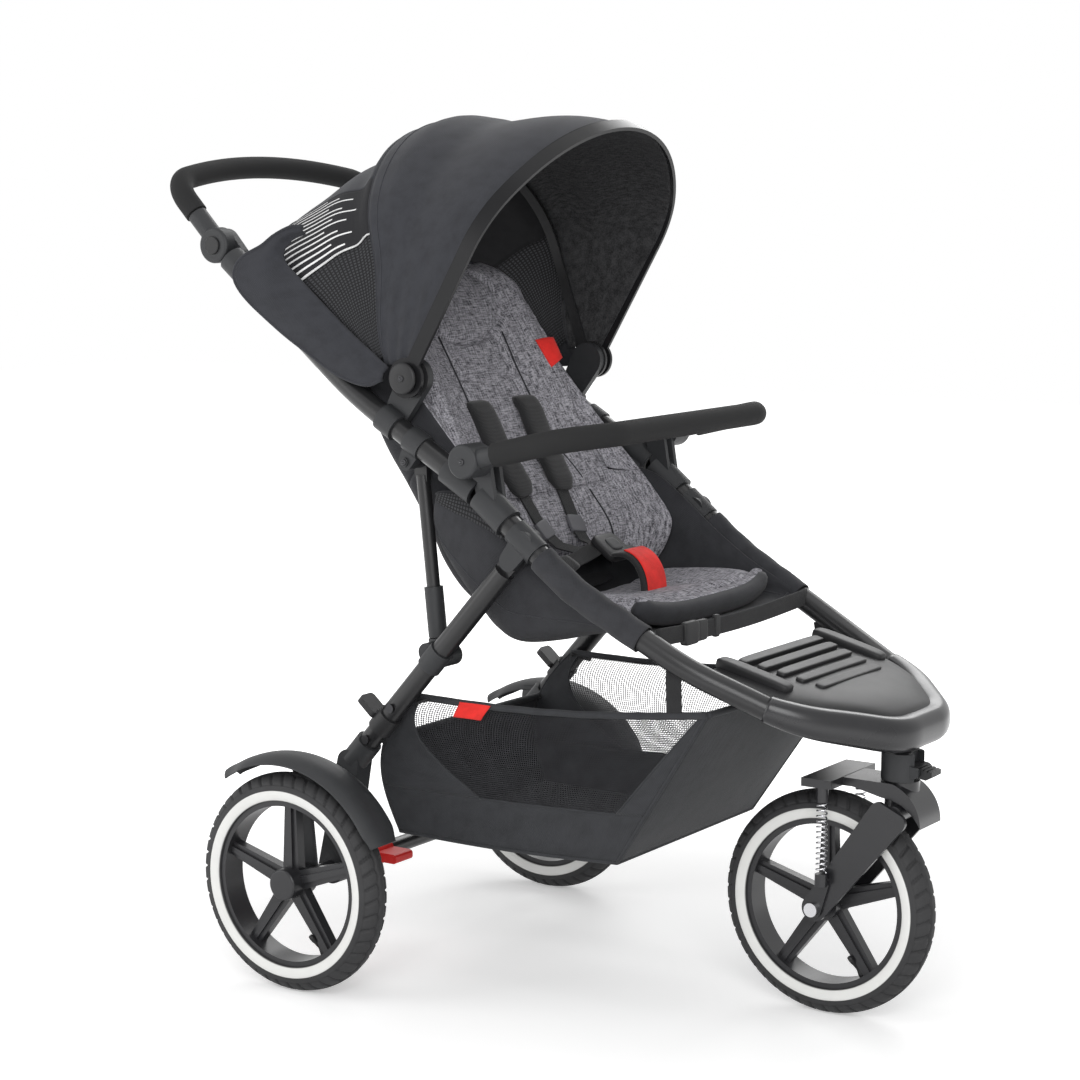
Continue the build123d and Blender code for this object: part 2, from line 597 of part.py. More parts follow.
handle_reach = Vector(GRIP_X - HANDLE_X, 0, HANDLE_RISE)
handle_dir = handle_reach.normalized()
bar_start = handle_axis + handle_dir * (KNUCKLE_R + 2)
slope = radians(HANDLE_SLOPE)
peak_reach = handle_reach.length + HANDLE_ARCH_R * (1 / cos(slope) - 1)
corner = handle_axis + handle_dir * (peak_reach - FRAME_Y * tan(slope))
peak = handle_axis + handle_dir * peak_reach + Vector(0, FRAME_Y, 0)
bar_bow = [tuple(corner), tuple(peak), (corner.X, FRAME_Y, corner.Z)]
bar_radii = [HANDLE_CORNER_R, HANDLE_ARCH_R, HANDLE_CORNER_R]
bar_route = [tuple(bar_start), *bar_bow, (bar_start.X, FRAME_Y, bar_start.Z)]
handle_bar = bent_tube(bar_route, bar_radii, HANDLE_TUBE_R, HANDLE_TUBE_R - TUBE_WALL)
grip_start = handle_axis + handle_dir * GRIP_START
grip_route = [tuple(grip_start), *bar_bow, (grip_start.X, FRAME_Y, grip_start.Z)]
handle_grip = bent_tube(grip_route, bar_radii, GRIP_R, HANDLE_TUBE_R + FIT / 3)
save(handle_bar, "handle_bar")
save(handle_grip, "handle_grip")

with BuildPart() as knuckle:
    add(disc(HANDLE_X, HANDLE_Z, KNUCKLE_R, -KNUCKLE_IN, -KNUCKLE_OUT))
    fillet(knuckle.edges().filter_by(GeomType.CIRCLE).sort_by(Axis.Y)[0], 4.0)
    add(rod(tuple(handle_axis + handle_dir * 12), tuple(handle_axis + handle_dir * (GRIP_START - 2)), HANDLE_TUBE_R + 3.5))
    with BuildSketch(side_plane(-SOCKET_IN + 12)):
        with Locations((HANDLE_X, HANDLE_Z)):
            Circle(KNUCKLE_R + 1)
    extrude(amount=KNUCKLE_IN - SOCKET_IN + 12, mode=Mode.SUBTRACT)
    add(rod(tuple(bar_start), tuple(bar_start + handle_dir * 100), HANDLE_TUBE_R + FIT / 10), mode=Mode.SUBTRACT)
    add(disc(HANDLE_X, HANDLE_Z, PIN_R + RUN, -KNUCKLE_IN + 1, -KNUCKLE_OUT + 8), mode=Mode.SUBTRACT)
    button_seat = -KNUCKLE_OUT + BUTTON_LENGTH - BUTTON_PROUD + BUTTON_TRAVEL + FIT
    add(disc(HANDLE_X, HANDLE_Z, BUTTON_R + RUN, button_seat, -KNUCKLE_OUT - 1), mode=Mode.SUBTRACT)
save(mirrored(knuckle.part), "handle_knuckles")

button_out = -KNUCKLE_OUT - BUTTON_PROUD
with BuildPart() as button:
    add(disc(HANDLE_X, HANDLE_Z, BUTTON_R, button_out, button_out + BUTTON_LENGTH))
    fillet(button.edges().filter_by(GeomType.CIRCLE).sort_by(Axis.Y)[0], 1.5)
save(button.part, "handle_button_right")
with BuildPart() as button_left:
    add(mirror(button.part, about=Plane.XZ, mode=Mode.PRIVATE))
save(button_left.part, "handle_button_left")


# canopy hoops and panels


def arch(half_width, lift):
    """The open arch of a hoop, drawn with its hub axis on the first axis of the sketch."""
    corner_r = half_width - ARCH_CORNER_Y
    shift = lift - ARCH_LIFT
    lean = degrees(atan2(ARCH_SIDE - ARCH_CROWN, ARCH_CORNER_Y))
    crown_r = ARCH_LIFT + half_width - ARCH_CROWN
    CenterArc((ARCH_CORNER_Y, ARCH_SIDE + shift), corner_r, 0, lean)
    CenterArc((0, ARCH_CROWN + shift), crown_r, lean, 180 - 2 * lean)
    CenterArc((-ARCH_CORNER_Y, ARCH_SIDE + shift), corner_r, 180 - lean, lean)


def arch_band(inner, outer, foot, lift):
    """The flat band between two concentric arches, down to the height of its feet."""
    side = ARCH_SIDE + lift - ARCH_LIFT
    with BuildLine() as outline:
        arch(outer, lift)
        Line((-outer, side), (-outer, foot))
        Line((-outer, foot), (-inner, foot))
        Line((-inner, foot), (-inner, side))
        arch(inner, lift)
        Line((inner, side), (inner, foot))
        Line((inner, foot), (outer, foot))
        Line((outer, foot), (outer, side))
    make_face(outline.edges())


def hoop_plane(angle):
    """The plane through the hub axis at an angle above +X."""
    outward = Vector(cos(radians(angle)), 0, sin(radians(angle)))
    return Plane(origin=(HUB_X, 0, HUB_Z), x_dir=(0, 1, 0), z_dir=Vector(0, 1, 0).cross(outward))


def hoop(angle, inner, outer, front, rear, lift):
    """A rigid hoop with round ends that turn on the hub pins, wide in front of and behind its plane."""
    with BuildPart() as bow:
        with BuildSketch(hoop_plane(angle).offset(-rear)):
            arch_band(inner, outer, HOOP_START, lift)
        extrude(amount=front + rear)
        for side in (-1, 1):
            add(disc(HUB_X, HUB_Z, HUB_R_DISC, side * inner, side * outer))
        add(disc(HUB_X, HUB_Z, HUB_PIN_R + RUN, -outer - 1, outer + 1), mode=Mode.SUBTRACT)
    return bow.part


def panel(stations, inner, outer):
    """A canopy panel stretched flat between arches at several (angle, lift) stations."""
    with BuildPart() as cloth:
        for angle, lift in stations:
            with BuildSketch(hoop_plane(angle)):
                arch_band(inner, outer, PANEL_START, lift)
        loft(ruled=True)
    return cloth.part


save(hoop(BOW_ANGLE, BOW_IN, BOW_OUT, BOW_BAND / 2, BOW_BAND / 2, ARCH_LIFT), "canopy_front_bow")
save(hoop(RIB_ANGLE, RIB_IN, RIB_OUT, 0.0, RIB_BAND, RIB_LIFT), "canopy_mid_rib")
save(panel(FRONT_STATIONS, FRONT_IN, FRONT_OUT), "canopy_front_panel")
save(panel(MID_STATIONS, MID_IN, MID_OUT), "canopy_mid_panel")
save(panel(REAR_STATIONS, REAR_IN, REAR_OUT), "canopy_rear_panel")

# side flaps hang outside the upper tubes behind the hubs

with BuildPart() as side_flap:
    with BuildSketch(side_plane(-FLAP_IN)):
        with BuildLine():
            Polyline((-146, 842), (-140, 806), (-180, 793), (-258, 836))
            ThreePointArc((-258, 836), (-312, 872), (-362, 916))
            Polyline((-362, 916), (-362, 952), (-330, 986), (-146, 842))
        make_face()
    extrude(amount=FLAP_OUT - FLAP_IN)
    hem_in = FRAME_Y + TUBE_R + FIT
    with BuildSketch(side_plane(-hem_in)):
        Polygon((-200, 790), (-258, 836), (-330, 890), (-330, 902), (-258, 848), (-200, 802), align=None)
    extrude(amount=FLAP_OUT - hem_in)
save(mirrored(side_flap.part), "canopy_side_flaps")

# clips grip the upper tubes and carry the hub pins

clip_along = (Vector(HUB_X, -FRAME_Y, HUB_Z) - upper_start).dot(upper_dir)
clip_mid = upper_start + upper_dir * clip_along
with BuildPart() as clip:
    add(link((HUB_X, HUB_Z), HUB_R_DISC - 2, (clip_mid.X, clip_mid.Z), TUBE_R + 2, -CLIP_OUT, -CLIP_IN))
    add(rod(tuple(clip_mid - upper_dir * 14), tuple(clip_mid + upper_dir * 14), TUBE_R + CLIP_COLLAR_T))
    add(rod(tuple(clip_mid - upper_dir * 60), tuple(clip_mid + upper_dir * 60), TUBE_R + FIT / 10), mode=Mode.SUBTRACT)
    add(disc(HUB_X, HUB_Z, HUB_PIN_R, -CLIP_IN - 1, -BOW_OUT - 1))
    add(disc(HUB_X, HUB_Z, HUB_PIN_R + 4, -BOW_OUT - FIT, -BOW_OUT - 4))
save(mirrored(clip.part), "canopy_clips")

# bumper bar on hubs outside the fold castings

hub_in = -lower_ears[0][0] + FIT
arm_dir = Vector(BUMPER_CORNER_X - FOLD_X, 0, (BUMPER_Z - FOLD_Z) * 0.86).normalized()
arm_start = Vector(FOLD_X, -BUMPER_Y, FOLD_Z) + arm_dir * (BUMPER_HUB_R - 6)
arm_corner = (BUMPER_CORNER_X, -BUMPER_Y, FOLD_Z + (BUMPER_Z - FOLD_Z) * 0.86)
arm_front = (BUMPER_X, -BUMPER_FLAT, BUMPER_Z)
bumper_half = [arm_corner, arm_front]
bumper_other = [(x, -y, z) for x, y, z in reversed(bumper_half)]
bumper_radii = [50.0, 55.0, 55.0, 50.0]
bumper_route = [tuple(arm_start), *bumper_half, *bumper_other, (arm_start.X, BUMPER_Y, arm_start.Z)]
bumper_bar = bent_tube(bumper_route, bumper_radii, BUMPER_TUBE_R, BUMPER_TUBE_R - TUBE_WALL)
foam_start = arm_start + arm_dir * 26
foam_route = [tuple(foam_start), *bumper_half, *bumper_other, (foam_start.X, BUMPER_Y, foam_start.Z)]
save(bumper_bar, "bumper_bar")
save(bent_tube(foam_route, bumper_radii, BUMPER_GRIP_R, BUMPER_TUBE_R + FIT / 3), "bumper_grip")

with BuildPart() as bumper_hub:
    hub_out = BUMPER_Y + BUMPER_TUBE_R + 6
    add(disc(FOLD_X, FOLD_Z, BUMPER_HUB_R, -hub_in, -hub_out))
    fillet(bumper_hub.edges().filter_by(GeomType.CIRCLE).sort_by(Axis.Y)[0], 4.0)
    add(rod(tuple(arm_start - arm_dir * 4), tuple(foam_start - arm_dir * 1), BUMPER_TUBE_R + 3))
    add(rod(tuple(arm_start), tuple(arm_start + arm_dir * 80), BUMPER_TUBE_R + FIT / 10), mode=Mode.SUBTRACT)
    add(disc(FOLD_X, FOLD_Z, PIN_R + RUN, -hub_in + 1, -hub_in - BUMPER_PIN), mode=Mode.SUBTRACT)
save(mirrored(bumper_hub.part), "bumper_hubs")

# nose cover with a slotted footplate, resting on the bent tube


def nose_body(inset, drop):
    """The block under the nose's plan and side outlines, drawn in and lowered for its hollow."""
    rear = NOSE_REAR_X + inset
    with BuildPart() as block:
        shoulder, cheek, tip = SWIVEL_X - 76, SWIVEL_X + 2 - inset, SWIVEL_X + 32 - inset
        with BuildSketch(Plane.XY.offset(HOUSING_BOTTOM)):
            with BuildLine():
                Line((rear, -158 + inset), (rear, 158 - inset))
                Line((rear, 158 - inset), (shoulder, 142 - inset))
                ThreePointArc((shoulder, 142 - inset), (cheek, 82 - inset), (tip, 0))
                ThreePointArc((tip, 0), (cheek, -82 + inset), (shoulder, -142 + inset))
                Line((shoulder, -142 + inset), (rear, -158 + inset))
            make_face()
        extrude(amount=170)
        with BuildSketch(side_plane(300, 0, -drop)):
            with BuildLine():
                Polyline((300, 467.3), (300, 458), (SWIVEL_X - 86, HOUSING_TOP + 60), (SWIVEL_X - 42, HOUSING_TOP),
                         (SWIVEL_X + 14, HOUSING_TOP), (SWIVEL_X + 35, HOUSING_TOP + 18))
                ThreePointArc((SWIVEL_X + 35, HOUSING_TOP + 18), (SWIVEL_X + 29, HOUSING_TOP + 43),
                              (SWIVEL_X + 3, HOUSING_TOP + 62))
                Line((SWIVEL_X + 3, HOUSING_TOP + 62), (300, 467.3))
            make_face()
        extrude(amount=600, mode=Mode.INTERSECT)
    return block.part


with BuildPart() as nose_cover:
    add(nose_body(0.0, 0.0))
    add(nose_body(NOSE_WALL, NOSE_WALL), mode=Mode.SUBTRACT)
    with Locations((SWIVEL_X, 0, HOUSING_TOP + 27)):
        Cylinder(SWIVEL_HOUSING_R, 54)
    for index in range(SLOT_COUNT):
        with Locations((NOSE_REAR_X + 28 + index * SLOT_PITCH, 0, 440)):
            Box(SLOT_WIDTH, SLOT_LENGTH, 120, mode=Mode.SUBTRACT)
    add(lower_envelope, mode=Mode.SUBTRACT)
    with Locations((SWIVEL_X, 0, HOUSING_TOP)):
        Cylinder(STEM_R + 4, 20, mode=Mode.SUBTRACT)
save(nose_cover.part, "nose_cover")

# swivel housing under the nose, bored for the fork stem, with ears for the lock lever

LEVER_X, LEVER_Z = SWIVEL_X + 24.0, HOUSING_BOTTOM + 13.0
with BuildPart() as swivel_housing:
    add(rod((SWIVEL_X, 0, HOUSING_BOTTOM), (SWIVEL_X, 0, HOUSING_TOP), SWIVEL_HOUSING_R))
    for side in (-1, 1):
        add(link((LEVER_X, LEVER_Z), 7.0, (SWIVEL_X, LEVER_Z), 10.0, side * 15.0, side * 20.0))
    with Locations((SWIVEL_X + 34, 0, HOUSING_BOTTOM + 17)):
        Box(40, 29.0, 50, mode=Mode.SUBTRACT)
    add(rod((SWIVEL_X, 0, HOUSING_BOTTOM - 1), (SWIVEL_X, 0, HOUSING_TOP + 1), STEM_R + RUN), mode=Mode.SUBTRACT)
    add(disc(LEVER_X, LEVER_Z, 3.0, -19.0, 19.0))
save(swivel_housing.part, "swivel_housing")

with BuildPart() as lock_lever:
    with BuildSketch(side_plane(13.6)):
        with BuildLine():
            Polyline((LEVER_X - 6, LEVER_Z - 6), (LEVER_X + 14, LEVER_Z - 9), (LEVER_X + 22, LEVER_Z - 4),
                     (LEVER_X + 22, LEVER_Z + 2), (LEVER_X - 6, LEVER_Z + 9), (LEVER_X - 6, LEVER_Z - 6))
        make_face()
        for step in range(3):
            with Locations((LEVER_X + 6 + 5 * step, LEVER_Z + 7.0 - 1.6 * step)):
                Rectangle(1.6, 5, mode=Mode.SUBTRACT)
    extrude(amount=27.2)
    add(disc(LEVER_X, LEVER_Z, 3.0 + RUN, -20, 20), mode=Mode.SUBTRACT)
save(lock_lever.part, "swivel_lock_lever")

# fork crown: stem, arched crown over the tyre, front tongue and spring seats

tongue_tip = polar(FRONT_AXLE_X, WHEEL_R, WHEEL_R + 35.6, 40.5)
tongue_mid = polar(FRONT_AXLE_X, WHEEL_R, WHEEL_R + 38.0, 50.5)
tongue_root = polar(FRONT_AXLE_X, WHEEL_R, WHEEL_R + 28.2, 60.8)
crown_seat_x = SPRING_X + 16.0
with BuildPart() as fork_crown:
    add(rod((SWIVEL_X, 0, ARM_PIVOT_Z), (SWIVEL_X, 0, HOUSING_TOP + 4), STEM_R))
    add(rod((SWIVEL_X, 0, ARM_PIVOT_Z + 3), (SWIVEL_X, 0, CROWN_TOP - 0.5), STEM_BODY_R))
    with BuildSketch(side_plane(30)):
        with BuildLine():
            Line((CROWN_BACK_X, CROWN_TOP), (SWIVEL_X, CROWN_TOP - 1))
            ThreePointArc((SWIVEL_X, CROWN_TOP - 1), (SWIVEL_X + 26, CROWN_UNDER - 7), tongue_tip)
            ThreePointArc(tongue_tip, tongue_mid, tongue_root)
            Line(tongue_root, (FRONT_AXLE_X + 45, CROWN_UNDER))
            Line((FRONT_AXLE_X + 45, CROWN_UNDER), (CROWN_BACK_X, CROWN_UNDER))
            Line((CROWN_BACK_X, CROWN_UNDER), (CROWN_BACK_X, CROWN_TOP))
        make_face()
    extrude(amount=60)
    with Locations(((CROWN_BACK_X + crown_seat_x) / 2, 0, (CROWN_UNDER + CROWN_TOP) / 2)):
        Box(crown_seat_x - CROWN_BACK_X, 2 * (SPRING_Y + SPRING_SEAT_R), CROWN_TOP - CROWN_UNDER)
    for side in (-1, 1):
        add(rod((SPRING_X, side * SPRING_Y, SPRING_TOP + FIT), (SPRING_X, side * SPRING_Y, CROWN_TOP), SPRING_SEAT_R))
    add(disc(ARM_PIVOT_X, ARM_PIVOT_Z, 11.0, -ARM_IN + FIT, ARM_IN - FIT))
    add(disc(ARM_PIVOT_X, ARM_PIVOT_Z, PIN_R, -ARM_OUT, ARM_OUT))
save(fork_crown.part, "fork_crown")

# swing arms: two tapered plates with axle bosses and lower spring seats

with BuildPart() as swing_arm:
    with BuildSketch(side_plane(-ARM_IN)):
        with Locations((FRONT_AXLE_X, WHEEL_R)):
            Circle(17)
        with Locations((ARM_PIVOT_X + 8, ARM_PIVOT_Z - 8), (ARM_PIVOT_X - 18, ARM_PIVOT_Z + 4)):
            Circle(11)
        make_hull()
    extrude(amount=ARM_OUT - ARM_IN)
    add(disc(ARM_PIVOT_X, ARM_PIVOT_Z, PIN_R + RUN, -ARM_OUT - 1, -ARM_IN + 1), mode=Mode.SUBTRACT)
    foot = (SPRING_X, SPRING_BOTTOM - 12)
    add(link((SPRING_X, SPRING_BOTTOM - 14), 8.0, (FRONT_AXLE_X, WHEEL_R), 12.0, -ARM_OUT - 4, -ARM_OUT))
    add(rod((SPRING_X, -SPRING_Y, SPRING_BOTTOM - 16), (SPRING_X, -SPRING_Y, SPRING_BOTTOM - FIT), SPRING_SEAT_R))
    add(disc(FRONT_AXLE_X, WHEEL_R, AXLE_R + RUN, -ARM_OUT - 10, 0), mode=Mode.SUBTRACT)
save(mirrored(swing_arm.part), "swing_arms")

with BuildPart() as front_axle:
    add(disc(FRONT_AXLE_X, WHEEL_R, AXLE_R, -ARM_OUT - 5, ARM_OUT + 5))
    for side in (-1, 1):
        add(disc(FRONT_AXLE_X, WHEEL_R, 9.0, side * (ARM_OUT + 4.3), side * (ARM_OUT + 10)))
        add(disc(FRONT_AXLE_X, WHEEL_R, 9.0, side * (HUB_HALF_W + FIT), side * (ARM_IN - FIT)))
save(front_axle.part, "front_axle")


# coil springs: one unbroken wire each, on arcs of a quarter turn


def coil(x, y, bottom, top):
    """A coil spring of quarter-turn arcs, every arc tangent to the one before it."""
    wire_span = top - bottom - 2 * SPRING_WIRE_R
    steps = 4 * SPRING_TURNS
    rise = wire_span / steps
    points = []
    for step in range(steps + 1):
        angle = radians(90.0 * step)
        points.append(Vector(x + SPRING_MEAN_R * cos(angle), y + SPRING_MEAN_R * sin(angle),
                             bottom + SPRING_WIRE_R + rise * step))
    slope = 4 * rise / (2 * 3.14159265 * SPRING_MEAN_R)
    with BuildPart() as spring:
        with BuildLine() as wire:
            heading = Vector(0, 1, slope)
            for start, end in zip(points, points[1:]):
                arc = TangentArc(start, end, tangent=heading)
                heading = arc % 1
        with BuildSketch(Plane(origin=wire.line @ 0, z_dir=wire.line % 0)):
            Circle(SPRING_WIRE_R)
        sweep()
    return spring.part, 4 * rise - 2 * SPRING_WIRE_R


with BuildPart() as front_springs:
    for side in (-1, 1):
        spring, gap = coil(SPRING_X, side * SPRING_Y, SPRING_BOTTOM, SPRING_TOP)
        add(spring)
print(f"front spring: least gap between turns {gap:.2f} mm")
save(front_springs.part, "front_springs")


# padded pieces: three lobes across, parted by two sewn channels, and drawn-in sides


def lobed_section(plane, half_width, thickness, channel):
    """One cross-section of a pad: a flat back and three crowned lobes in front."""
    third = half_width / 3
    side = 0.45 * thickness
    valley = thickness - channel
    with BuildSketch(plane) as section:
        with BuildLine():
            Polyline((-half_width, side), (-half_width + 6, 0), (half_width - 6, 0), (half_width, side))
            ThreePointArc((half_width, side), (2 * third, 0.98 * thickness), (third, valley))
            ThreePointArc((third, valley), (0, thickness), (-third, valley))
            ThreePointArc((-third, valley), (-2 * third, 0.98 * thickness), (-half_width, side))
        make_face()
    return section.sketch


def lofted_pad(stations, origin, run, up, channel):
    """A pad lofted through stations of (distance along, half width, thickness, lift)."""
    with BuildPart() as pad:
        for distance, half_width, thickness, lift in stations:
            centre = Vector(*origin) + run * distance + up * lift
            plane = Plane(origin=tuple(centre), x_dir=tuple(up.cross(run)), z_dir=tuple(run))
            add(lobed_section(plane, half_width, thickness, channel))
        loft()
    return pad.part


back_run = Vector(cos(radians(BACK_ANGLE)), 0, sin(radians(BACK_ANGLE)))
back_up = Vector(sin(radians(BACK_ANGLE)), 0, -cos(radians(BACK_ANGLE)))
back_stations = [(10, PAD_HALF_W - 8, BACK_PAD_T - 8, 0), (50, PAD_HALF_W - 2, BACK_PAD_T, 0),
                 (180, PAD_HALF_W, BACK_PAD_T, 0), (BACK_LENGTH - 50, PAD_HALF_W - 10, BACK_PAD_T, 0),
                 (BACK_LENGTH, PAD_HALF_W - 34, BACK_PAD_T - 12, 0)]
save(lofted_pad(back_stations, (RECLINE_X, 0, RECLINE_Z), back_run, back_up, 7.0), "backrest_pad")

with BuildPart() as backrest_board:
    board_mid = Vector(RECLINE_X, 0, RECLINE_Z) + back_run * (BACK_LENGTH / 2 + 6) - back_up * FIT
    with BuildSketch(Plane(origin=tuple(board_mid), x_dir=(0, 1, 0), z_dir=tuple(back_up * -1))):
        RectangleRounded(2 * PAD_HALF_W - 10, BACK_LENGTH - 20, 40)
        with Locations((0, BACK_LENGTH / 2 + 6 - WING_ALONG)):
            Rectangle(2 * WING_HALF, 20)
    extrude(amount=BOARD_T)
save(backrest_board.part, "backrest_board")

# shoulder pads lie on the backrest

with BuildPart() as shoulder_pads:
    for side in (-1, 1):
        pad_mid = Vector(RECLINE_X, side * 58.0, RECLINE_Z) + back_run * 72 + back_up * (BACK_PAD_T + FIT)
        with BuildSketch(Plane(origin=tuple(pad_mid), x_dir=(0, 1, 0), z_dir=tuple(back_up))):
            RectangleRounded(50, 125, 14)
        extrude(amount=13)
save(shoulder_pads.part, "shoulder_pads")

# lower back pad in the bucket, below the reclining backrest

lower_back_stations = [(-134, PAD_HALF_W - 10, BACK_PAD_T - 8, 0), (-100, PAD_HALF_W, BACK_PAD_T, 0),
                       (-40, PAD_HALF_W, BACK_PAD_T, 0), (-8, PAD_HALF_W - 8, BACK_PAD_T - 6, 0)]
lower_back_pad = lofted_pad(lower_back_stations, (RECLINE_X, 0, RECLINE_Z), back_run, back_up, 7.0)
save(lower_back_pad, "lower_back_pad")

# seat cushion on the bucket floor

seat_stations = [(0, PAD_HALF_W - 10, 26, 0), (40, PAD_HALF_W, 34, 0), (130, PAD_HALF_W, 34, 0),
                 (186, PAD_HALF_W - 4, 26, 0)]
seat_run = Vector(1, 0, 0.07).normalized()
seat_up = Vector(-0.07, 0, 1).normalized()
seat_cushion = lofted_pad(seat_stations, (SEAT_X, 0, SEAT_Z), seat_run, seat_up, 6.0)
save(seat_cushion, "seat_cushion")

# seat bucket: floor, sides and lower back slung between the tubes

rest = Vector(RECLINE_X, 0, RECLINE_Z) - back_up * FIT
back_high = rest + back_run * 60
back_low = rest - back_run * 148
floor_rear = Vector(SEAT_X, 0, SEAT_Z) - seat_up * FIT
floor_front = floor_rear + seat_run * 300
bucket_outline = ((-88, 652), (-92, 610), (-64, 560), (24, 480), (54, 471), (178, 486), (230, 494), (234, 502),
                  (150, 530), (60, 604), (28, 628), (6, 640))
bucket_hollow = ((back_high.X, back_high.Z), (back_low.X, back_low.Z), (floor_rear.X - 3, floor_rear.Z),
                 (floor_front.X, floor_front.Z), (300, 720))
with BuildPart() as seat_bucket:
    with BuildSketch(side_plane(BUCKET_HALF_W)):
        Polygon(*bucket_outline, align=None)
    extrude(amount=2 * BUCKET_HALF_W)
    with BuildSketch(side_plane(BUCKET_HALF_W - BUCKET_WALL)):
        Polygon(*bucket_hollow, align=None)
    extrude(amount=2 * (BUCKET_HALF_W - BUCKET_WALL), mode=Mode.SUBTRACT)
    add(lower_envelope, mode=Mode.SUBTRACT)
save(seat_bucket.part, "seat_bucket")

# fabric sleeves that hang the seat front from the lower tube

with BuildPart() as tube_sleeve:
    sleeve_from = joint + lower_dir * 118
    add(bent_tube([tuple(sleeve_from), LOWER_BENDS[0], (242.0, -204.7, 497.5)], [150.0], TUBE_R + 3.2))
    add(lower_envelope, mode=Mode.SUBTRACT)
    add(seat_bucket.part, mode=Mode.SUBTRACT)
sleeve_main = tube_sleeve.part.solids().sort_by(SortBy.VOLUME)[-1]
with BuildPart() as tube_sleeves:
    add(sleeve_main)
    mirror(about=Plane.XZ)
save(tube_sleeves.part, "tube_sleeves")

# harness: crotch strap, buckle and waist straps on the cushion; calf strap across the frame


def buckle_block(grow):
    """The harness buckle, grown on every side for the straps that meet it."""
    with BuildPart() as block:
        with BuildSketch(Plane(origin=(64 - 0.6 * grow, 0, 594 - 0.8 * grow), x_dir=(0, 1, 0), z_dir=(0.6, 0, 0.8))):
            RectangleRounded(54 + 2 * grow, 46 + 2 * grow, 12 + grow)
        extrude(amount=13 + 2 * grow)
    return block.part


save(buckle_block(0.0), "harness_buckle")
buckle_room = buckle_block(FIT)
cushion_room = seat_cushion.moved(Location((0, 0, FIT)))
back_room = lower_back_pad.moved(Location(tuple(back_up * FIT)))

with BuildPart() as crotch_strap:
    with BuildSketch(side_plane(26)):
        Polygon((112, 520), (117, 520), (88, 590), (78, 590), align=None)
    extrude(amount=52)
    add(buckle_room, mode=Mode.SUBTRACT)
    add(cushion_room, mode=Mode.SUBTRACT)
save(crotch_strap.part.solids().sort_by(SortBy.VOLUME)[-1], "crotch_strap")

with BuildPart() as waist_strap:
    start = Vector(62, -20, 600)
    end = Vector(0, -150, 578)
    run = (end - start).normalized()
    with BuildSketch(Plane(origin=tuple(start), x_dir=tuple(run.cross(Vector(0.35, 0, 1)).normalized()),
                           z_dir=tuple(run))):
        Rectangle(25, STRAP_T)
    extrude(amount=(end - start).length)
    add(buckle_room, mode=Mode.SUBTRACT)
    add(back_room, mode=Mode.SUBTRACT)
save(mirrored(waist_strap.part.solids().sort_by(SortBy.VOLUME)[-1]), "waist_straps")

with BuildPart() as calf_strap:
    with Locations((254, 0, 506)):
        Box(STRAP_T, 2 * FRAME_Y, 30)
    with Locations((254, -40, 506)):
        Box(11, 58, 38)
    add(lower_envelope, mode=Mode.SUBTRACT)
save(calf_strap.part.solids().sort_by(SortBy.VOLUME)[-1], "calf_strap")

# basket: a tapered tub with an open top


def basket_loft(inset, rise):
    """A tapered block between the basket's base and rim, drawn in by a wall."""
    with BuildPart() as tub:
        for line, half in ((BASKET_BASE, BASKET_BASE_HALF), (BASKET_RIM, BASKET_RIM_HALF)):
            (rear_x, rear_z), (front_x, front_z) = line
            slope = Vector(front_x - rear_x, 0, front_z - rear_z)
            middle = Vector((rear_x + front_x) / 2, 0, (rear_z + front_z) / 2 + rise)
            with BuildSketch(Plane(origin=tuple(middle), x_dir=tuple(slope), z_dir=tuple(slope.cross(Vector(0, 1, 0))))):
                RectangleRounded(slope.length - 2 * inset, 2 * half - 2 * inset, 30)
        loft(ruled=True)
    return tub.part


with BuildPart() as basket:
    add(basket_loft(0.0, 0.0))
    add(basket_loft(BASKET_WALL, BASKET_WALL), mode=Mode.SUBTRACT)
    hang_y = BASKET_RIM_HALF - BASKET_WALL / 2 - 1
    for side in (-1, 1):
        with Locations((276, side * hang_y, 430)):
            Box(22, BASKET_WALL, 62)
        with Locations((-100, side * (hang_y + 5), 378)):
            Box(34, 14, 8)
    add(lower_envelope, mode=Mode.SUBTRACT)
    for side in (-1, 1):
        add(rod((LEG_X, side * FRAME_Y, LEG_Z), (LEG_END_X, side * FRAME_Y, LEG_END_Z), LEG_R + FIT), mode=Mode.SUBTRACT)
basket_main = basket.part.solids().sort_by(SortBy.VOLUME)[-1]
save(basket_main, "basket")
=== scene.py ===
"""Studio scene of a folding three-wheeled baby stroller, dressed around its CAD frame.

All lengths are in metres, in the frame of the CAD model: +X forward, +Y to the child's left, +Z up.
"""
from __future__ import annotations

import json
import logging
from dataclasses import dataclass
from enum import Enum
from math import cos, pi, radians, sin
from typing import Callable, Sequence

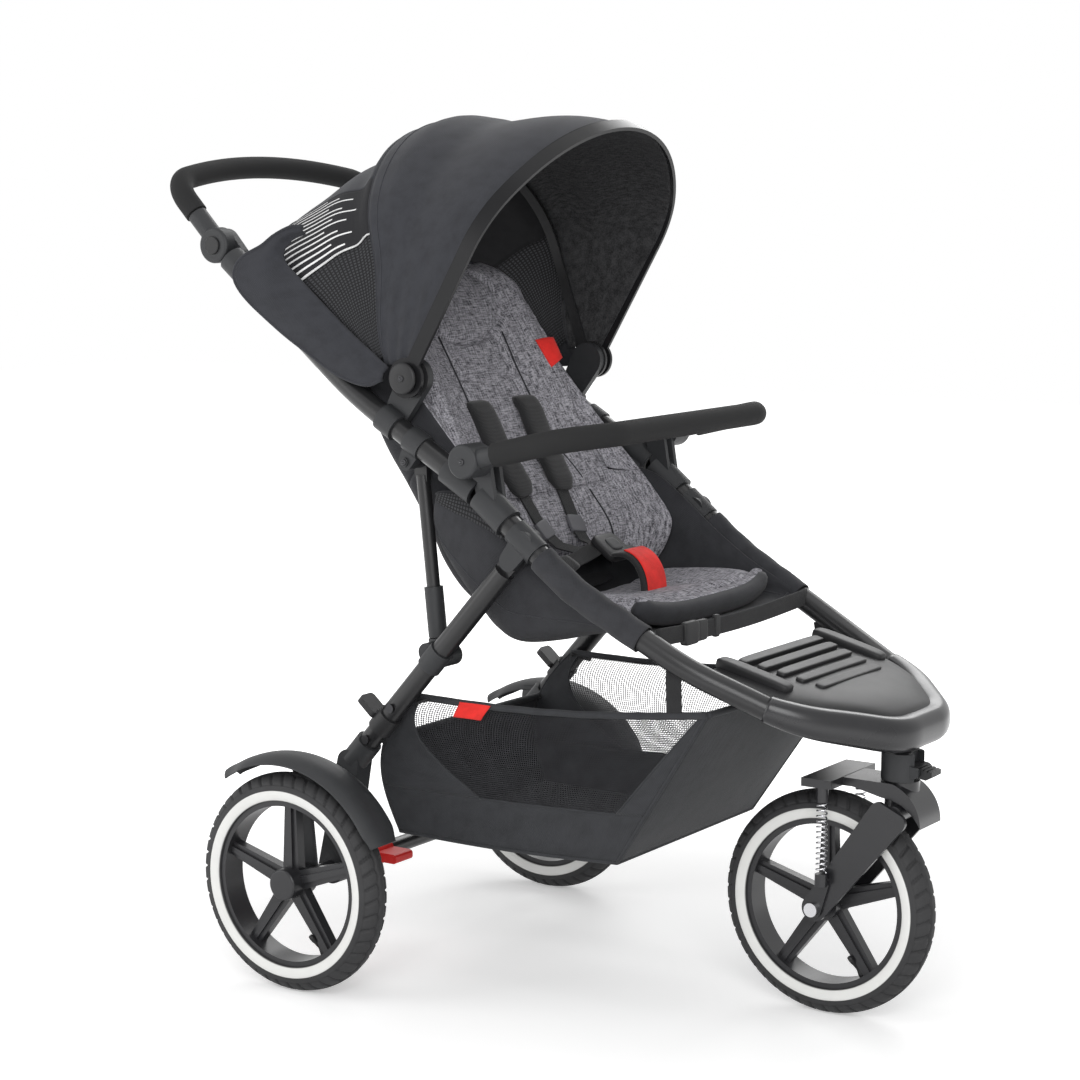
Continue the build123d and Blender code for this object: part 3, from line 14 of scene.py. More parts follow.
import bmesh
import bpy
import numpy as np
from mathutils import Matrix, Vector

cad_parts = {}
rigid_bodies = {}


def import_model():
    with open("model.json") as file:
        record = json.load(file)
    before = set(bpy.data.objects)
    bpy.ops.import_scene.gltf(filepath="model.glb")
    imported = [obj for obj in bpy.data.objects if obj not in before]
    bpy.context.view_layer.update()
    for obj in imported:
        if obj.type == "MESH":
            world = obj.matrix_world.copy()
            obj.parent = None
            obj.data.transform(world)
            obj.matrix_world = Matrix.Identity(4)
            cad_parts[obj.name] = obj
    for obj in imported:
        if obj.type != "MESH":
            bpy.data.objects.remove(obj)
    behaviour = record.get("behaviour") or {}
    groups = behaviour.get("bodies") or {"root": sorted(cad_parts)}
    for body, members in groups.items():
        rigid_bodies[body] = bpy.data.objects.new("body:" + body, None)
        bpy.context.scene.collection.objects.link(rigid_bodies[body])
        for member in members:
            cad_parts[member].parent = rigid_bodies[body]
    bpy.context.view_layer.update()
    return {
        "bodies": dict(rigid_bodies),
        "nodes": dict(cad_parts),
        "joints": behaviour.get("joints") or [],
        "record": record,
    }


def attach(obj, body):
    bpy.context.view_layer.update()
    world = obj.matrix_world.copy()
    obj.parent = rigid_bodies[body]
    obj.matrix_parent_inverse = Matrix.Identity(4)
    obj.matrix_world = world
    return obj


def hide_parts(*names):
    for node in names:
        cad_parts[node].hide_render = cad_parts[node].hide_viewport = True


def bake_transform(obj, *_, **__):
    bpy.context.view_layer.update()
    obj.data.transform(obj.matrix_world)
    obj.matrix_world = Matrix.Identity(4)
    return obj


log = logging.getLogger("stroller")
Array = np.ndarray
Color = tuple[float, float, float]
Point = tuple[float, float, float]
Table = tuple[tuple[float, float], ...]

SIDES = (("right", -1.0), ("left", 1.0))
LEFTWARD = np.array([0.0, 1.0, 0.0])
TUBE_CORNERS: tuple[Point, ...] = ((0.0, -0.213, 0.666), (0.140, -0.213, 0.553), (0.300, -0.200, 0.466),
                                   (0.430, -0.160, 0.409), (0.518, -0.060, 0.380))
TUBE_NOSE: Point = (0.518, 0.0, 0.380)
TUBE_BENDS = (0.330, 0.330, 0.150, 0.078)
BEVEL_SEGMENTS = 2
BEVEL_ANGLE = radians(40.0)
FILL_PRESSURE = 4.0
FILL_FRAMES = 20
CLOTH_SPECULAR = 0.2


# shapes worked out on grids


def unit(v: Array) -> Array:
    """Vectors scaled to length one along their last axis."""
    return v / np.maximum(np.linalg.norm(v, axis=-1, keepdims=True), 1e-12)


def smoothstep(low: float, high: float, x: Array) -> Array:
    """The cubic step that rises from 0 at low to 1 at high."""
    t = np.clip((x - low) / (high - low), 0.0, 1.0)
    return t * t * (3.0 - 2.0 * t)


def through(points: Sequence[Sequence[float]], count: int) -> Array:
    """A smooth curve through control points.

    Formula: the Catmull-Rom cubic on each span, at evenly spaced parameters.

    Args:
        points: control points, each with the same number of coordinates.
        count: number of samples.

    Returns:
        An array of shape (count, dimensions).
    """
    p = np.asarray(points, float)
    n = len(p)
    ext = np.vstack([2 * p[:1] - p[1:2], p, 2 * p[-1:] - p[-2:-1]])
    t = np.linspace(0.0, n - 1, count)
    k = np.minimum(t.astype(int), n - 2)
    f = (t - k)[:, None]
    a, b, c, d = ext[k], ext[k + 1], ext[k + 2], ext[k + 3]
    return 0.5 * (2 * b + (c - a) * f + (2 * a - 5 * b + 4 * c - d) * f**2 + (3 * b - a - 3 * c + d) * f**3)


def even(curve: Array, count: int) -> Array:
    """The same curve sampled at equal steps of its own length."""
    step = np.linalg.norm(np.diff(curve, axis=0), axis=1)
    run = np.concatenate([[0.0], np.cumsum(step)])
    want = np.linspace(0.0, run[-1], count)
    return np.stack([np.interp(want, run, curve[:, i]) for i in range(curve.shape[1])], axis=1)


def signed_root(v: Array, power: float) -> Array:
    """The 2/power root of each number's size, with the number's sign."""
    return np.sign(v) * np.abs(v) ** (2 / power)


def rounded_profile(width: float, height: float, count: int = 20, power: float = 4.0) -> Array:
    """A closed rounded-rectangle section: the superellipse of the given power."""
    t = np.linspace(0.0, 2 * pi, count, endpoint=False)
    c, s = np.cos(t), np.sin(t)
    return np.stack([width / 2 * signed_root(c, power), height / 2 * signed_root(s, power)], axis=1)


def carried(path: Array, profile: Array, up: Sequence[float] | Array, scale: Array | None = None) -> Array:
    """A section carried along a path.

    Formula: path + profile_x * side + profile_y * rise, with side = up x tangent and rise = tangent x side.

    Args:
        path: (n, 3) points.
        profile: (m, 2) section, its first axis along side and its second along rise.
        up: a hint for rise, one vector or one per path point.
        scale: optional (n,) or (n, 2) factors on the section along the path.

    Returns:
        An array of shape (n, m, 3).
    """
    tangent = unit(np.gradient(path, axis=0))
    side = unit(np.cross(np.broadcast_to(np.asarray(up, float), path.shape), tangent))
    rise = np.cross(tangent, side)
    factors = np.ones((len(path), 2)) if scale is None else np.asarray(scale, float).reshape(len(path), -1)
    factors = np.broadcast_to(factors, (len(path), 2))
    px = profile[None, :, 0] * factors[:, :1]
    py = profile[None, :, 1] * factors[:, 1:]
    return path[:, None] + px[..., None] * side[:, None] + py[..., None] * rise[:, None]


def lengths(points: Array, axis: int, wrap: bool) -> Array:
    """Running length along one axis of a grid, averaged over the other."""
    grid = np.concatenate([points, points.take([0], axis)], axis) if wrap else points
    step = np.linalg.norm(np.diff(grid, axis=axis), axis=-1).mean(axis=1 - axis)
    return np.concatenate([[0.0], np.cumsum(step)])


def lay(name: str, points: Array, wrap_u: bool = False, wrap_v: bool = False, caps: bool = False,
        attributes: dict[str, Array] | None = None) -> bpy.types.Object:
    """Put a grid of points into a smooth mesh object with a UV map in metres.

    Args:
        name: the piece's name.
        points: (nu, nv, 3) grid.
        wrap_u: whether the first axis closes on itself.
        wrap_v: whether the second axis closes on itself.
        caps: whether the two ends of the first axis are closed with a face each.
        attributes: float attributes per grid point.

    Returns:
        The new object, linked to the scene.
    """
    nu, nv = points.shape[:2]
    iu = np.arange(nu if wrap_u else nu - 1)[:, None]
    iv = np.arange(nv if wrap_v else nv - 1)[None, :]
    ju, jv = (iu + 1) % nu, (iv + 1) % nv
    faces = np.stack([iu * nv + iv, ju * nv + iv, ju * nv + jv, iu * nv + jv], axis=-1).reshape(-1, 4)
    polygons: list[list[int]] = faces.tolist()
    if caps:
        ring = np.arange(nv)
        polygons += [ring.tolist(), (ring[::-1] + (nu - 1) * nv).tolist()]
    mesh = bpy.data.meshes.new(name)
    mesh.from_pydata(points.reshape(-1, 3).tolist(), [], polygons)
    lu, lv = lengths(points, 0, wrap_u), lengths(points, 1, wrap_v)
    ku, kv = iu + 0 * iv, iv + 0 * iu
    corner_u = np.stack([lu[ku], lu[ku + 1], lu[ku + 1], lu[ku]], axis=-1)
    corner_v = np.stack([lv[kv], lv[kv], lv[kv + 1], lv[kv + 1]], axis=-1)
    uv = np.zeros((len(mesh.loops), 2))
    uv[: faces.size] = np.stack([corner_u, corner_v], axis=-1).reshape(-1, 2)
    mesh.uv_layers.new(name="UVMap").data.foreach_set("uv", uv.astype(np.float32).ravel())
    mesh.polygons.foreach_set("use_smooth", np.ones(len(mesh.polygons), dtype=bool))
    for key, values in (attributes or {}).items():
        layer = mesh.attributes.new(key, "FLOAT", "POINT")
        layer.data.foreach_set("value", np.asarray(values, np.float32).ravel())
    mesh.update()
    piece = bpy.data.objects.new(name, mesh)
    bpy.context.scene.collection.objects.link(piece)
    if caps or (wrap_u and wrap_v):
        face_outwards(piece)
    return piece


def sweep(name: str, path: Array, profile: Array, up: Sequence[float] | Array,
          scale: Array | None = None) -> bpy.types.Object:
    """A closed piece with one section along a path; the arguments are those of carried."""
    return lay(name, carried(path, profile, up, scale), wrap_v=True, caps=True)


def face_outwards(piece: bpy.types.Object) -> None:
    """Merge doubles and turn every face of a closed mesh outwards."""
    work = bmesh.new()
    work.from_mesh(piece.data)
    bmesh.ops.remove_doubles(work, verts=work.verts, dist=1e-6)
    bmesh.ops.recalc_face_normals(work, faces=work.faces)
    work.to_mesh(piece.data)
    work.free()


def joined(name: str, pieces: Sequence[bpy.types.Object]) -> bpy.types.Object:
    """Several mesh objects made one, under a new name."""
    work = bmesh.new()
    for piece in pieces:
        work.from_mesh(piece.data)
    mesh = bpy.data.meshes.new(name)
    work.to_mesh(mesh)
    work.free()
    for piece in pieces:
        bpy.data.objects.remove(piece)
    whole = bpy.data.objects.new(name, mesh)
    bpy.context.scene.collection.objects.link(whole)
    return whole


def mirrored(points: Array) -> Array:
    """The same grid on the other side of the XZ plane."""
    return points * np.array([1.0, -1.0, 1.0])


def thicken(piece: bpy.types.Object, thickness: float, offset: float = 0.0) -> bpy.types.Object:
    """Give a sheet its thickness."""
    solid = piece.modifiers.new("thickness", "SOLIDIFY")
    solid.thickness = thickness
    solid.offset = offset
    solid.use_even_offset = True
    return piece


def lined(piece: bpy.types.Object, thickness: float, lining: Finish, turn: bool) -> bpy.types.Object:
    """Give a dressed sheet its thickness, with another cloth on its inner face.

    Args:
        piece: the sheet, already dressed with its outer cloth.
        thickness: of both layers together.
        lining: the inner cloth.
        turn: whether the faces have to be turned so that they look outwards first.

    Returns:
        The same piece.
    """
    if turn:
        piece.data.flip_normals()
    piece.data.materials.append(lining.material())
    thicken(piece, thickness)
    piece.modifiers["thickness"].material_offset = 1
    return piece


def soften(piece: bpy.types.Object, width: float) -> None:
    """Round a piece's sharp edges."""
    bevel = piece.modifiers.new("rounded_edges", "BEVEL")
    bevel.width = width
    bevel.segments = BEVEL_SEGMENTS
    bevel.limit_method = "ANGLE"
    bevel.angle_limit = BEVEL_ANGLE


def subdivide(piece: bpy.types.Object) -> None:
    """Smooth a piece by one subdivision, the same in view and render."""
    surface = piece.modifiers.new("smooth", "SUBSURF")
    surface.levels = surface.render_levels = 1


def coordinates(mesh: bpy.types.Mesh) -> Array:
    """All vertex positions of a mesh as one array."""
    flat = np.empty(3 * len(mesh.vertices))
    mesh.vertices.foreach_get("co", flat)
    return flat.reshape(-1, 3)


def inflate(piece: bpy.types.Object, voxel: float, cap: float) -> None:
    """Fill a closed pad like a cushion by a short cloth simulation, and keep the result in its mesh.

    Args:
        piece: a closed mesh object.
        voxel: size of the remesh, in metres.
        cap: the most that a point may move, in metres.
    """
    remesh = piece.modifiers.new("remesh", "REMESH")
    remesh.mode = "VOXEL"
    remesh.voxel_size = voxel
    graph = bpy.context.evaluated_depsgraph_get()
    mesh = bpy.data.meshes.new_from_object(piece.evaluated_get(graph))
    piece.modifiers.clear()
    piece.data = mesh
    mesh.polygons.foreach_set("use_smooth", np.ones(len(mesh.polygons), dtype=bool))
    start = coordinates(mesh)
    cloth = piece.modifiers.new("filling", "CLOTH")
    settings = cloth.settings
    settings.quality = 5
    settings.mass = 0.25
    settings.tension_stiffness = 14.0
    settings.compression_stiffness = 14.0
    settings.shear_stiffness = 6.0
    settings.bending_stiffness = 0.6
    settings.use_pressure = True
    settings.uniform_pressure_force = FILL_PRESSURE
    settings.effector_weights.gravity = 0.0
    cloth.point_cache.frame_start = 1
    cloth.point_cache.frame_end = FILL_FRAMES
    scene = bpy.context.scene
    for frame in range(1, FILL_FRAMES + 1):
        scene.frame_set(frame)
    graph = bpy.context.evaluated_depsgraph_get()
    end = coordinates(piece.evaluated_get(graph).data)
    piece.modifiers.clear()
    move = end - start
    move -= move.mean(axis=0)
    size = np.linalg.norm(move, axis=1, keepdims=True)
    move *= np.minimum(1.0, cap / np.maximum(size, 1e-9))
    mesh.vertices.foreach_set("co", (start + move).ravel())
    mesh.update()
    scene.frame_set(1)


def reshape(piece: bpy.types.Object, change: Callable[[Array], Array]) -> None:
    """Move all vertices of a piece by a function of their positions."""
    place = coordinates(piece.data)
    piece.data.vertices.foreach_set("co", change(place).ravel())
    piece.data.update()


def filleted(points: Sequence[Sequence[float]], radii: Sequence[float], count: int) -> Array:
    """A bent-tube axis: straight runs joined by tangent arcs, sampled evenly.

    Formula: at each inner point the arc of the given radius leaves both runs at radius * tan(turn / 2)
    from the corner, about the centre on the corner's bisector.

    Args:
        points: corners of the axis.
        radii: bend radius at each inner corner.
        count: number of samples.

    Returns:
        An array of shape (count, 3).
    """
    p = np.asarray(points, float)
    rows = [p[:1]]
    for before, corner, after, radius in zip(p[:-2], p[1:-1], p[2:], radii):
        a, b = unit(before - corner), unit(after - corner)
        half = 0.5 * np.arccos(np.clip(a @ b, -1.0, 1.0))
        centre = corner + unit(a + b) * radius / np.sin(half)
        start, end = corner + a * radius / np.tan(half), corner + b * radius / np.tan(half)
        t = np.linspace(0.0, 1.0, 24)[:, None]
        rows.append(centre + unit((start - centre) * (1 - t) + (end - centre) * t) * radius)
    rows.append(p[-1:])
    return even(np.vstack(rows), count)


def turned(name: str, profile: Sequence[tuple[float, float]], centre: Sequence[float],
           axis: Sequence[float] = (0.0, 1.0, 0.0), count: int = 40) -> bpy.types.Object:
    """A turned piece: a profile of (distance along the axis, radius) carried round the axis."""
    p = np.asarray(profile, float)
    z = unit(np.asarray(axis, float))
    x = unit(np.cross(z, (0.3, 0.2, 0.9)))
    y = np.cross(z, x)
    t = np.linspace(0.0, 2 * pi, count, endpoint=False)
    ring = np.cos(t)[:, None] * x + np.sin(t)[:, None] * y
    grid = np.asarray(centre, float) + p[:, None, :1] * z + np.maximum(p[:, None, 1:], 2e-4) * ring[None]
    return lay(name, grid, wrap_v=True, caps=True)


def block(name: str, centre: Sequence[float], size: Sequence[float], x: Sequence[float], z: Sequence[float],
          power: float = 5.0) -> bpy.types.Object:
    """A rounded block: the superquadric of a power, between axes x, z x x and z.

    Formula: each coordinate is its half size times the signed 2/power root of a sphere's coordinate.
    """
    ex, ez = unit(np.asarray(x, float)), unit(np.asarray(z, float))
    ey = np.cross(ez, ex)
    la = np.linspace(-pi / 2 + 0.02, pi / 2 - 0.02, 25)[:, None]
    lo = np.linspace(0.0, 2 * pi, 48, endpoint=False)[None, :]
    ring = signed_root(np.cos(la), power)
    q = np.stack([ring * signed_root(np.cos(lo), power), ring * signed_root(np.sin(lo), power),
                  signed_root(np.sin(la), power) + 0 * lo], axis=-1) * np.asarray(size, float) / 2
    grid = np.asarray(centre, float) + q[..., :1] * ex + q[..., 1:2] * ey + q[..., 2:] * ez
    return lay(name, grid, wrap_v=True, caps=True)


def cord_along(name: str, path: Array, radius: float, up: Sequence[float] | Array) -> bpy.types.Object:
    """A thin round cord along a path."""
    return sweep(name, path, rounded_profile(2 * radius, 2 * radius, 10, 2.0), up)


def strap(name: str, path: Array, width: float, up: Sequence[float] | Array,
          thickness: float = 0.0022) -> bpy.types.Object:
    """A webbing strap: a flat rounded section along a path."""
    return sweep(name, path, rounded_profile(width, thickness, 20, 7.0), up)


def finer(piece: bpy.types.Object) -> None:
    """One subdivision, kept in the mesh."""
    subdivide(piece)
    graph = bpy.context.evaluated_depsgraph_get()
    mesh = bpy.data.meshes.new_from_object(piece.evaluated_get(graph))
    piece.modifiers.clear()
    piece.data = mesh


def groove(distance: Array, width: float) -> Array:
    """The depth share of a sewn line at a distance from it: a bell of the given width."""
    return np.exp(-((distance / width) ** 2))


# shading


class Tree:
    """A thin wrapper that adds and links nodes in one node tree."""

    def __init__(self, tree: bpy.types.NodeTree) -> None:
        """Hold the tree that nodes are added to."""
        self.tree = tree

    def add(self, kind: str, settings: dict[str, object] | None = None, **inputs: object) -> bpy.types.Node:
        """Add a node, set its properties, and set or link its inputs.

        Args:
            kind: the node's type name without the ShaderNode prefix.
            settings: properties of the node.
            inputs: socket values or sockets to link, by name with spaces as underscores, or a number as _0.

        Returns:
            The new node.
        """
        node = self.tree.nodes.new(kind if kind.startswith("NodeGroup") else "ShaderNode" + kind)
        for key, value in (settings or {}).items():
            setattr(node, key, value)
        for key, value in inputs.items():
            self.feed(node.inputs[int(key[1:]) if key[0] == "_" else key.replace("_", " ")], value)
        return node

    def feed(self, socket: bpy.types.NodeSocket, value: object) -> None:
        """Link a socket to another socket, or give it a plain value."""
        if isinstance(value, bpy.types.NodeSocket):
            self.tree.links.new(value, socket)
        else:
            socket.default_value = value

    def math(self, operation: str, first: object, second: object = 0.0) -> bpy.types.NodeSocket:
        """A Math node's result."""
        return self.add("Math", {"operation": operation}, _0=first, _1=second).outputs[0]

    def ramp(self, factor: bpy.types.NodeSocket,
             stops: Sequence[tuple[float, Color]]) -> bpy.types.NodeSocket:
        """A colour ramp with the given (place, colour) stops."""
        node = self.add("ValToRGB", Fac=factor)
        elements = node.color_ramp.elements
        while len(elements) < len(stops):
            elements.new(0.5)
        for element, (place, color) in zip(elements, stops):
            element.position = place
            element.color = (*color, 1.0)
        return node.outputs["Color"]

    def group(self, group: bpy.types.NodeTree, **inputs: object) -> bpy.types.Node:
        """Place a shared effect group in this tree."""
        node = self.tree.nodes.new("ShaderNodeGroup")
        node.node_tree = group
        for key, value in inputs.items():
            self.feed(node.inputs[key], value)
        return node


def effect(name: str, inputs: Sequence[tuple[str, str, float]], outputs: Sequence[str],
           fill: Callable[[Tree, bpy.types.Node, bpy.types.Node], None]) -> bpy.types.NodeTree:
    """A shared shader node group, built once.

    Args:
        name: the group's name.
        inputs: (name, socket type, default) of each input.
        outputs: names of the float outputs.
        fill: adds the nodes between the group's input and output nodes.

    Returns:
        The group's node tree.
    """
    if name in bpy.data.node_groups:
        return bpy.data.node_groups[name]
    tree = bpy.data.node_groups.new(name, "ShaderNodeTree")
    for label, kind, default in inputs:
        socket = tree.interface.new_socket(label, in_out="INPUT", socket_type=kind)
        if kind == "NodeSocketFloat":
            socket.default_value = default
    for label in outputs:
        tree.interface.new_socket(label, in_out="OUTPUT", socket_type="NodeSocketFloat")
    wrap = Tree(tree)
    fill(wrap, wrap.add("NodeGroupInput"), wrap.add("NodeGroupOutput"))
    return tree


def weave_effect() -> bpy.types.NodeTree:
    """Plain weave: the product of sines along each pair of axes, and a slow change of tone."""

    def fill(t: Tree, given: bpy.types.Node, out: bpy.types.Node) -> None:
        """Sines along the threads for the height, and slow noise for the tone."""
        scaled = t.add("VectorMath", {"operation": "SCALE"}, _0=given.outputs["Vector"],
                       Scale=given.outputs["Threads"])
        parts = t.add("SeparateXYZ", Vector=scaled.outputs[0])
        waves = [t.math("SINE", t.math("MULTIPLY", parts.outputs[i], 2 * pi)) for i in range(3)]
        first, second, third = (t.math("MULTIPLY", waves[i], waves[j]) for i, j in ((0, 1), (1, 2), (0, 2)))
        total = t.math("ADD", first, t.math("ADD", second, third))
        slub = t.add("TexNoise", Vector=given.outputs["Vector"], Scale=38.0, Detail=4.0, Roughness=0.6)
        t.tree.links.new(t.math("MULTIPLY_ADD", total, 0.5), out.inputs["Height"])
        t.tree.links.new(slub.outputs[0], out.inputs["Tone"])

    return effect("weave", [("Vector", "NodeSocketVector", 0.0), ("Threads", "NodeSocketFloat", 400.0)],
                  ["Height", "Tone"], fill)


def grain_effect() -> bpy.types.NodeTree:
    """Moulded grain: fine noise for the skin and slow noise for handling marks."""

    def fill(t: Tree, given: bpy.types.Node, out: bpy.types.Node) -> None:
        """Two noises, one for the height and one for the marks."""
        fine = t.add("TexNoise", Vector=given.outputs["Vector"], Scale=given.outputs["Scale"], Detail=3.0,
                     Roughness=0.6)
        slow = t.add("TexNoise", Vector=given.outputs["Vector"], Scale=14.0, Detail=5.0, Roughness=0.62)
        t.tree.links.new(fine.outputs[0], out.inputs["Height"])
        t.tree.links.new(slow.outputs[0], out.inputs["Marks"])

    return effect("grain", [("Vector", "NodeSocketVector", 0.0), ("Scale", "NodeSocketFloat", 700.0)],
                  ["Height", "Marks"], fill)


def melange_effect() -> bpy.types.NodeTree:
    """Two-tone yarn: noise drawn out along the width and along the length, laid over each other."""

    def fill(t: Tree, given: bpy.types.Node, out: bpy.types.Node) -> None:
        """The mean of two drawn-out noises."""
        across = t.add("VectorMath", {"operation": "MULTIPLY"}, _0=given.outputs["Vector"],
                       _1=(620.0, 70.0, 620.0))
        along = t.add("VectorMath", {"operation": "MULTIPLY"}, _0=given.outputs["Vector"],
                      _1=(90.0, 640.0, 90.0))
        first = t.add("TexNoise", Vector=across.outputs[0], Scale=1.0, Detail=2.0)
        second = t.add("TexNoise", Vector=along.outputs[0], Scale=1.0, Detail=2.0)
        both = t.math("ADD", first.outputs[0], second.outputs[0])
        t.tree.links.new(t.math("MULTIPLY", both, 0.5), out.inputs["Yarn"])

    return effect("melange", [("Vector", "NodeSocketVector", 0.0)], ["Yarn"], fill)


def net_effect() -> bpy.types.NodeTree:
    """Open net: threads where the sine along either axis is small, holes elsewhere."""

    def fill(t: Tree, given: bpy.types.Node, out: bpy.types.Node) -> None:
        """Threads where either sine is small."""
        scaled = t.add("VectorMath", {"operation": "SCALE"}, _0=given.outputs["Vector"],
                       Scale=given.outputs["Cells"])
        parts = t.add("SeparateXYZ", Vector=scaled.outputs[0])
        waves = [t.math("SINE", t.math("MULTIPLY", parts.outputs[i], pi)) for i in range(2)]
        lines = [t.math("LESS_THAN", t.math("ABSOLUTE", wave), given.outputs["Thread"]) for wave in waves]
        t.tree.links.new(t.math("MAXIMUM", lines[0], lines[1]), out.inputs["Cover"])

    return effect("net", [("Vector", "NodeSocketVector", 0.0), ("Cells", "NodeSocketFloat", 320.0),
                          ("Thread", "NodeSocketFloat", 0.5)], ["Cover"], fill)


class Place(Enum):
    """Which coordinates a finish follows."""

    OBJECT = "Object"
    CLOTH = "UV"


@dataclass(frozen=True)
class Finish:
    """A surface finish that makes its material once."""

    name: str
    color: Color
    roughness: float = 0.5

    def material(self) -> bpy.types.Material:
        """The finish as a material, made on first use."""
        found = bpy.data.materials.get(self.name)
        if found:
            return found
        material = bpy.data.materials.new(self.name)
        material.use_nodes = True
        tree = Tree(material.node_tree)
        shader = material.node_tree.nodes["Principled BSDF"]
        shader.inputs["Base Color"].default_value = (*self.color, 1.0)
        shader.inputs["Roughness"].default_value = self.roughness
        self.detail(tree, shader)
        return material

    def detail(self, tree: Tree, shader: bpy.types.Node) -> None:
        """Add the finish's own nodes; the plain finish has none."""

    def bump(self, tree: Tree, shader: bpy.types.Node, height: bpy.types.NodeSocket, strength: float,
             distance: float) -> None:
        """Feed a height into the shader's normal."""
        bump = tree.add("Bump", Strength=strength, Distance=distance, Height=height)
        tree.tree.links.new(bump.outputs[0], shader.inputs["Normal"])

    def tint(self, tree: Tree, shader: bpy.types.Node, mask: bpy.types.NodeSocket, dark: float, light: float,
             low: float = 0.3, high: float = 0.7) -> None:
        """Vary the base colour between two multiples of itself by a mask."""
        stops = [(low, tuple(dark * c for c in self.color)),
                 (high, tuple(min(1.0, light * c) for c in self.color))]
        tree.tree.links.new(tree.ramp(mask, stops), shader.inputs["Base Color"])


@dataclass(frozen=True)
class Moulding(Finish):
    """Moulded plastic with a fine grain and faint handling marks."""

    grain: float = 900.0
    depth: float = 0.25
    coat: float = 0.0
    specular: float = 0.3

    def detail(self, tree: Tree, shader: bpy.types.Node) -> None:
        """Grain in the normal, marks in the roughness and tone."""
        where = tree.add("TexCoord").outputs["Object"]
        grain = tree.group(grain_effect(), Vector=where, Scale=self.grain)
        self.bump(tree, shader, grain.outputs["Height"], self.depth, 0.0004)
        self.tint(tree, shader, grain.outputs["Marks"], 0.86, 1.16)
        rough = tree.math("MULTIPLY_ADD", grain.outputs["Marks"], 0.16)
        rough.node.inputs[2].default_value = self.roughness - 0.08
        tree.tree.links.new(rough, shader.inputs["Roughness"])
        shader.inputs["Specular IOR Level"].default_value = self.specular
        shader.inputs["Coat Weight"].default_value = self.coat
        shader.inputs["Coat Roughness"].default_value = 0.25


@dataclass(frozen=True)
class Metal(Finish):
    """Bright or dark metal with a fine drawn grain."""

    def detail(self, tree: Tree, shader: bpy.types.Node) -> None:
        """Full metal with slight marks."""
        shader.inputs["Metallic"].default_value = 1.0
        where = tree.add("TexCoord").outputs["Object"]
        grain = tree.group(grain_effect(), Vector=where, Scale=500.0)
        self.bump(tree, shader, grain.outputs["Height"], 0.08, 0.0002)
        self.tint(tree, shader, grain.outputs["Marks"], 0.9, 1.08)


@dataclass(frozen=True)
class Cloth(Finish):
    """Woven cloth."""

    threads: float = 420.0
    depth: float = 0.35
    sheen: float = 0.08
    place: Place = Place.CLOTH

    def detail(self, tree: Tree, shader: bpy.types.Node) -> None:
        """Weave in the normal, slow variation in the tone, and a soft sheen."""
        where = tree.add("TexCoord").outputs[self.place.value]
        weave = tree.group(weave_effect(), Vector=where, Threads=self.threads)
        self.bump(tree, shader, weave.outputs["Height"], self.depth, 0.0005)
        mixed = tree.math("MULTIPLY_ADD", weave.outputs["Height"], 0.22)
        tree.tree.links.new(weave.outputs["Tone"], mixed.node.inputs[2])
        self.tint(tree, shader, mixed, 0.78, 1.25)
        shader.inputs["Specular IOR Level"].default_value = CLOTH_SPECULAR
        shader.inputs["Sheen Weight"].default_value = self.sheen
        shader.inputs["Sheen Roughness"].default_value = 0.55


@dataclass(frozen=True)
class Melange(Finish):
    """Two-tone heather cloth."""

    dark: Color = (0.03, 0.03, 0.033)

    def detail(self, tree: Tree, shader: bpy.types.Node) -> None:
        """Yarn streaks in colour and normal."""
        where = tree.add("TexCoord").outputs["Object"]
        yarn = tree.group(melange_effect(), Vector=where)
        color = tree.ramp(yarn.outputs["Yarn"], [(0.36, self.dark), (0.64, self.color)])
        tree.tree.links.new(color, shader.inputs["Base Color"])
        self.bump(tree, shader, yarn.outputs["Yarn"], 0.4, 0.0008)
        shader.inputs["Specular IOR Level"].default_value = CLOTH_SPECULAR


@dataclass(frozen=True)
class Net(Finish):
    """Net cloth with see-through cells, or with a backing cloth that shows in the cells."""

    cells: float = 300.0
    thread: float = 0.5
    backing: Color | None = None

    def detail(self, tree: Tree, shader: bpy.types.Node) -> None:
        """Cells in the alpha, or backing in the colour, and a knitted height in the normal."""
        where = tree.add("TexCoord").outputs["UV"]
        net = tree.group(net_effect(), Vector=where, Cells=self.cells, Thread=self.thread)
        weave = tree.group(weave_effect(), Vector=where, Threads=2 * self.cells)
        self.bump(tree, shader, weave.outputs["Height"], 0.3, 0.0005)
        if self.backing:
            shade = tree.ramp(net.outputs["Cover"], [(0.4, self.backing), (0.6, self.color)])
            tree.tree.links.new(shade, shader.inputs["Base Color"])
        else:
            tree.tree.links.new(net.outputs["Cover"], shader.inputs["Alpha"])
            self.tint(tree, shader, weave.outputs["Tone"], 0.8, 1.3)
        shader.inputs["Specular IOR Level"].default_value = CLOTH_SPECULAR


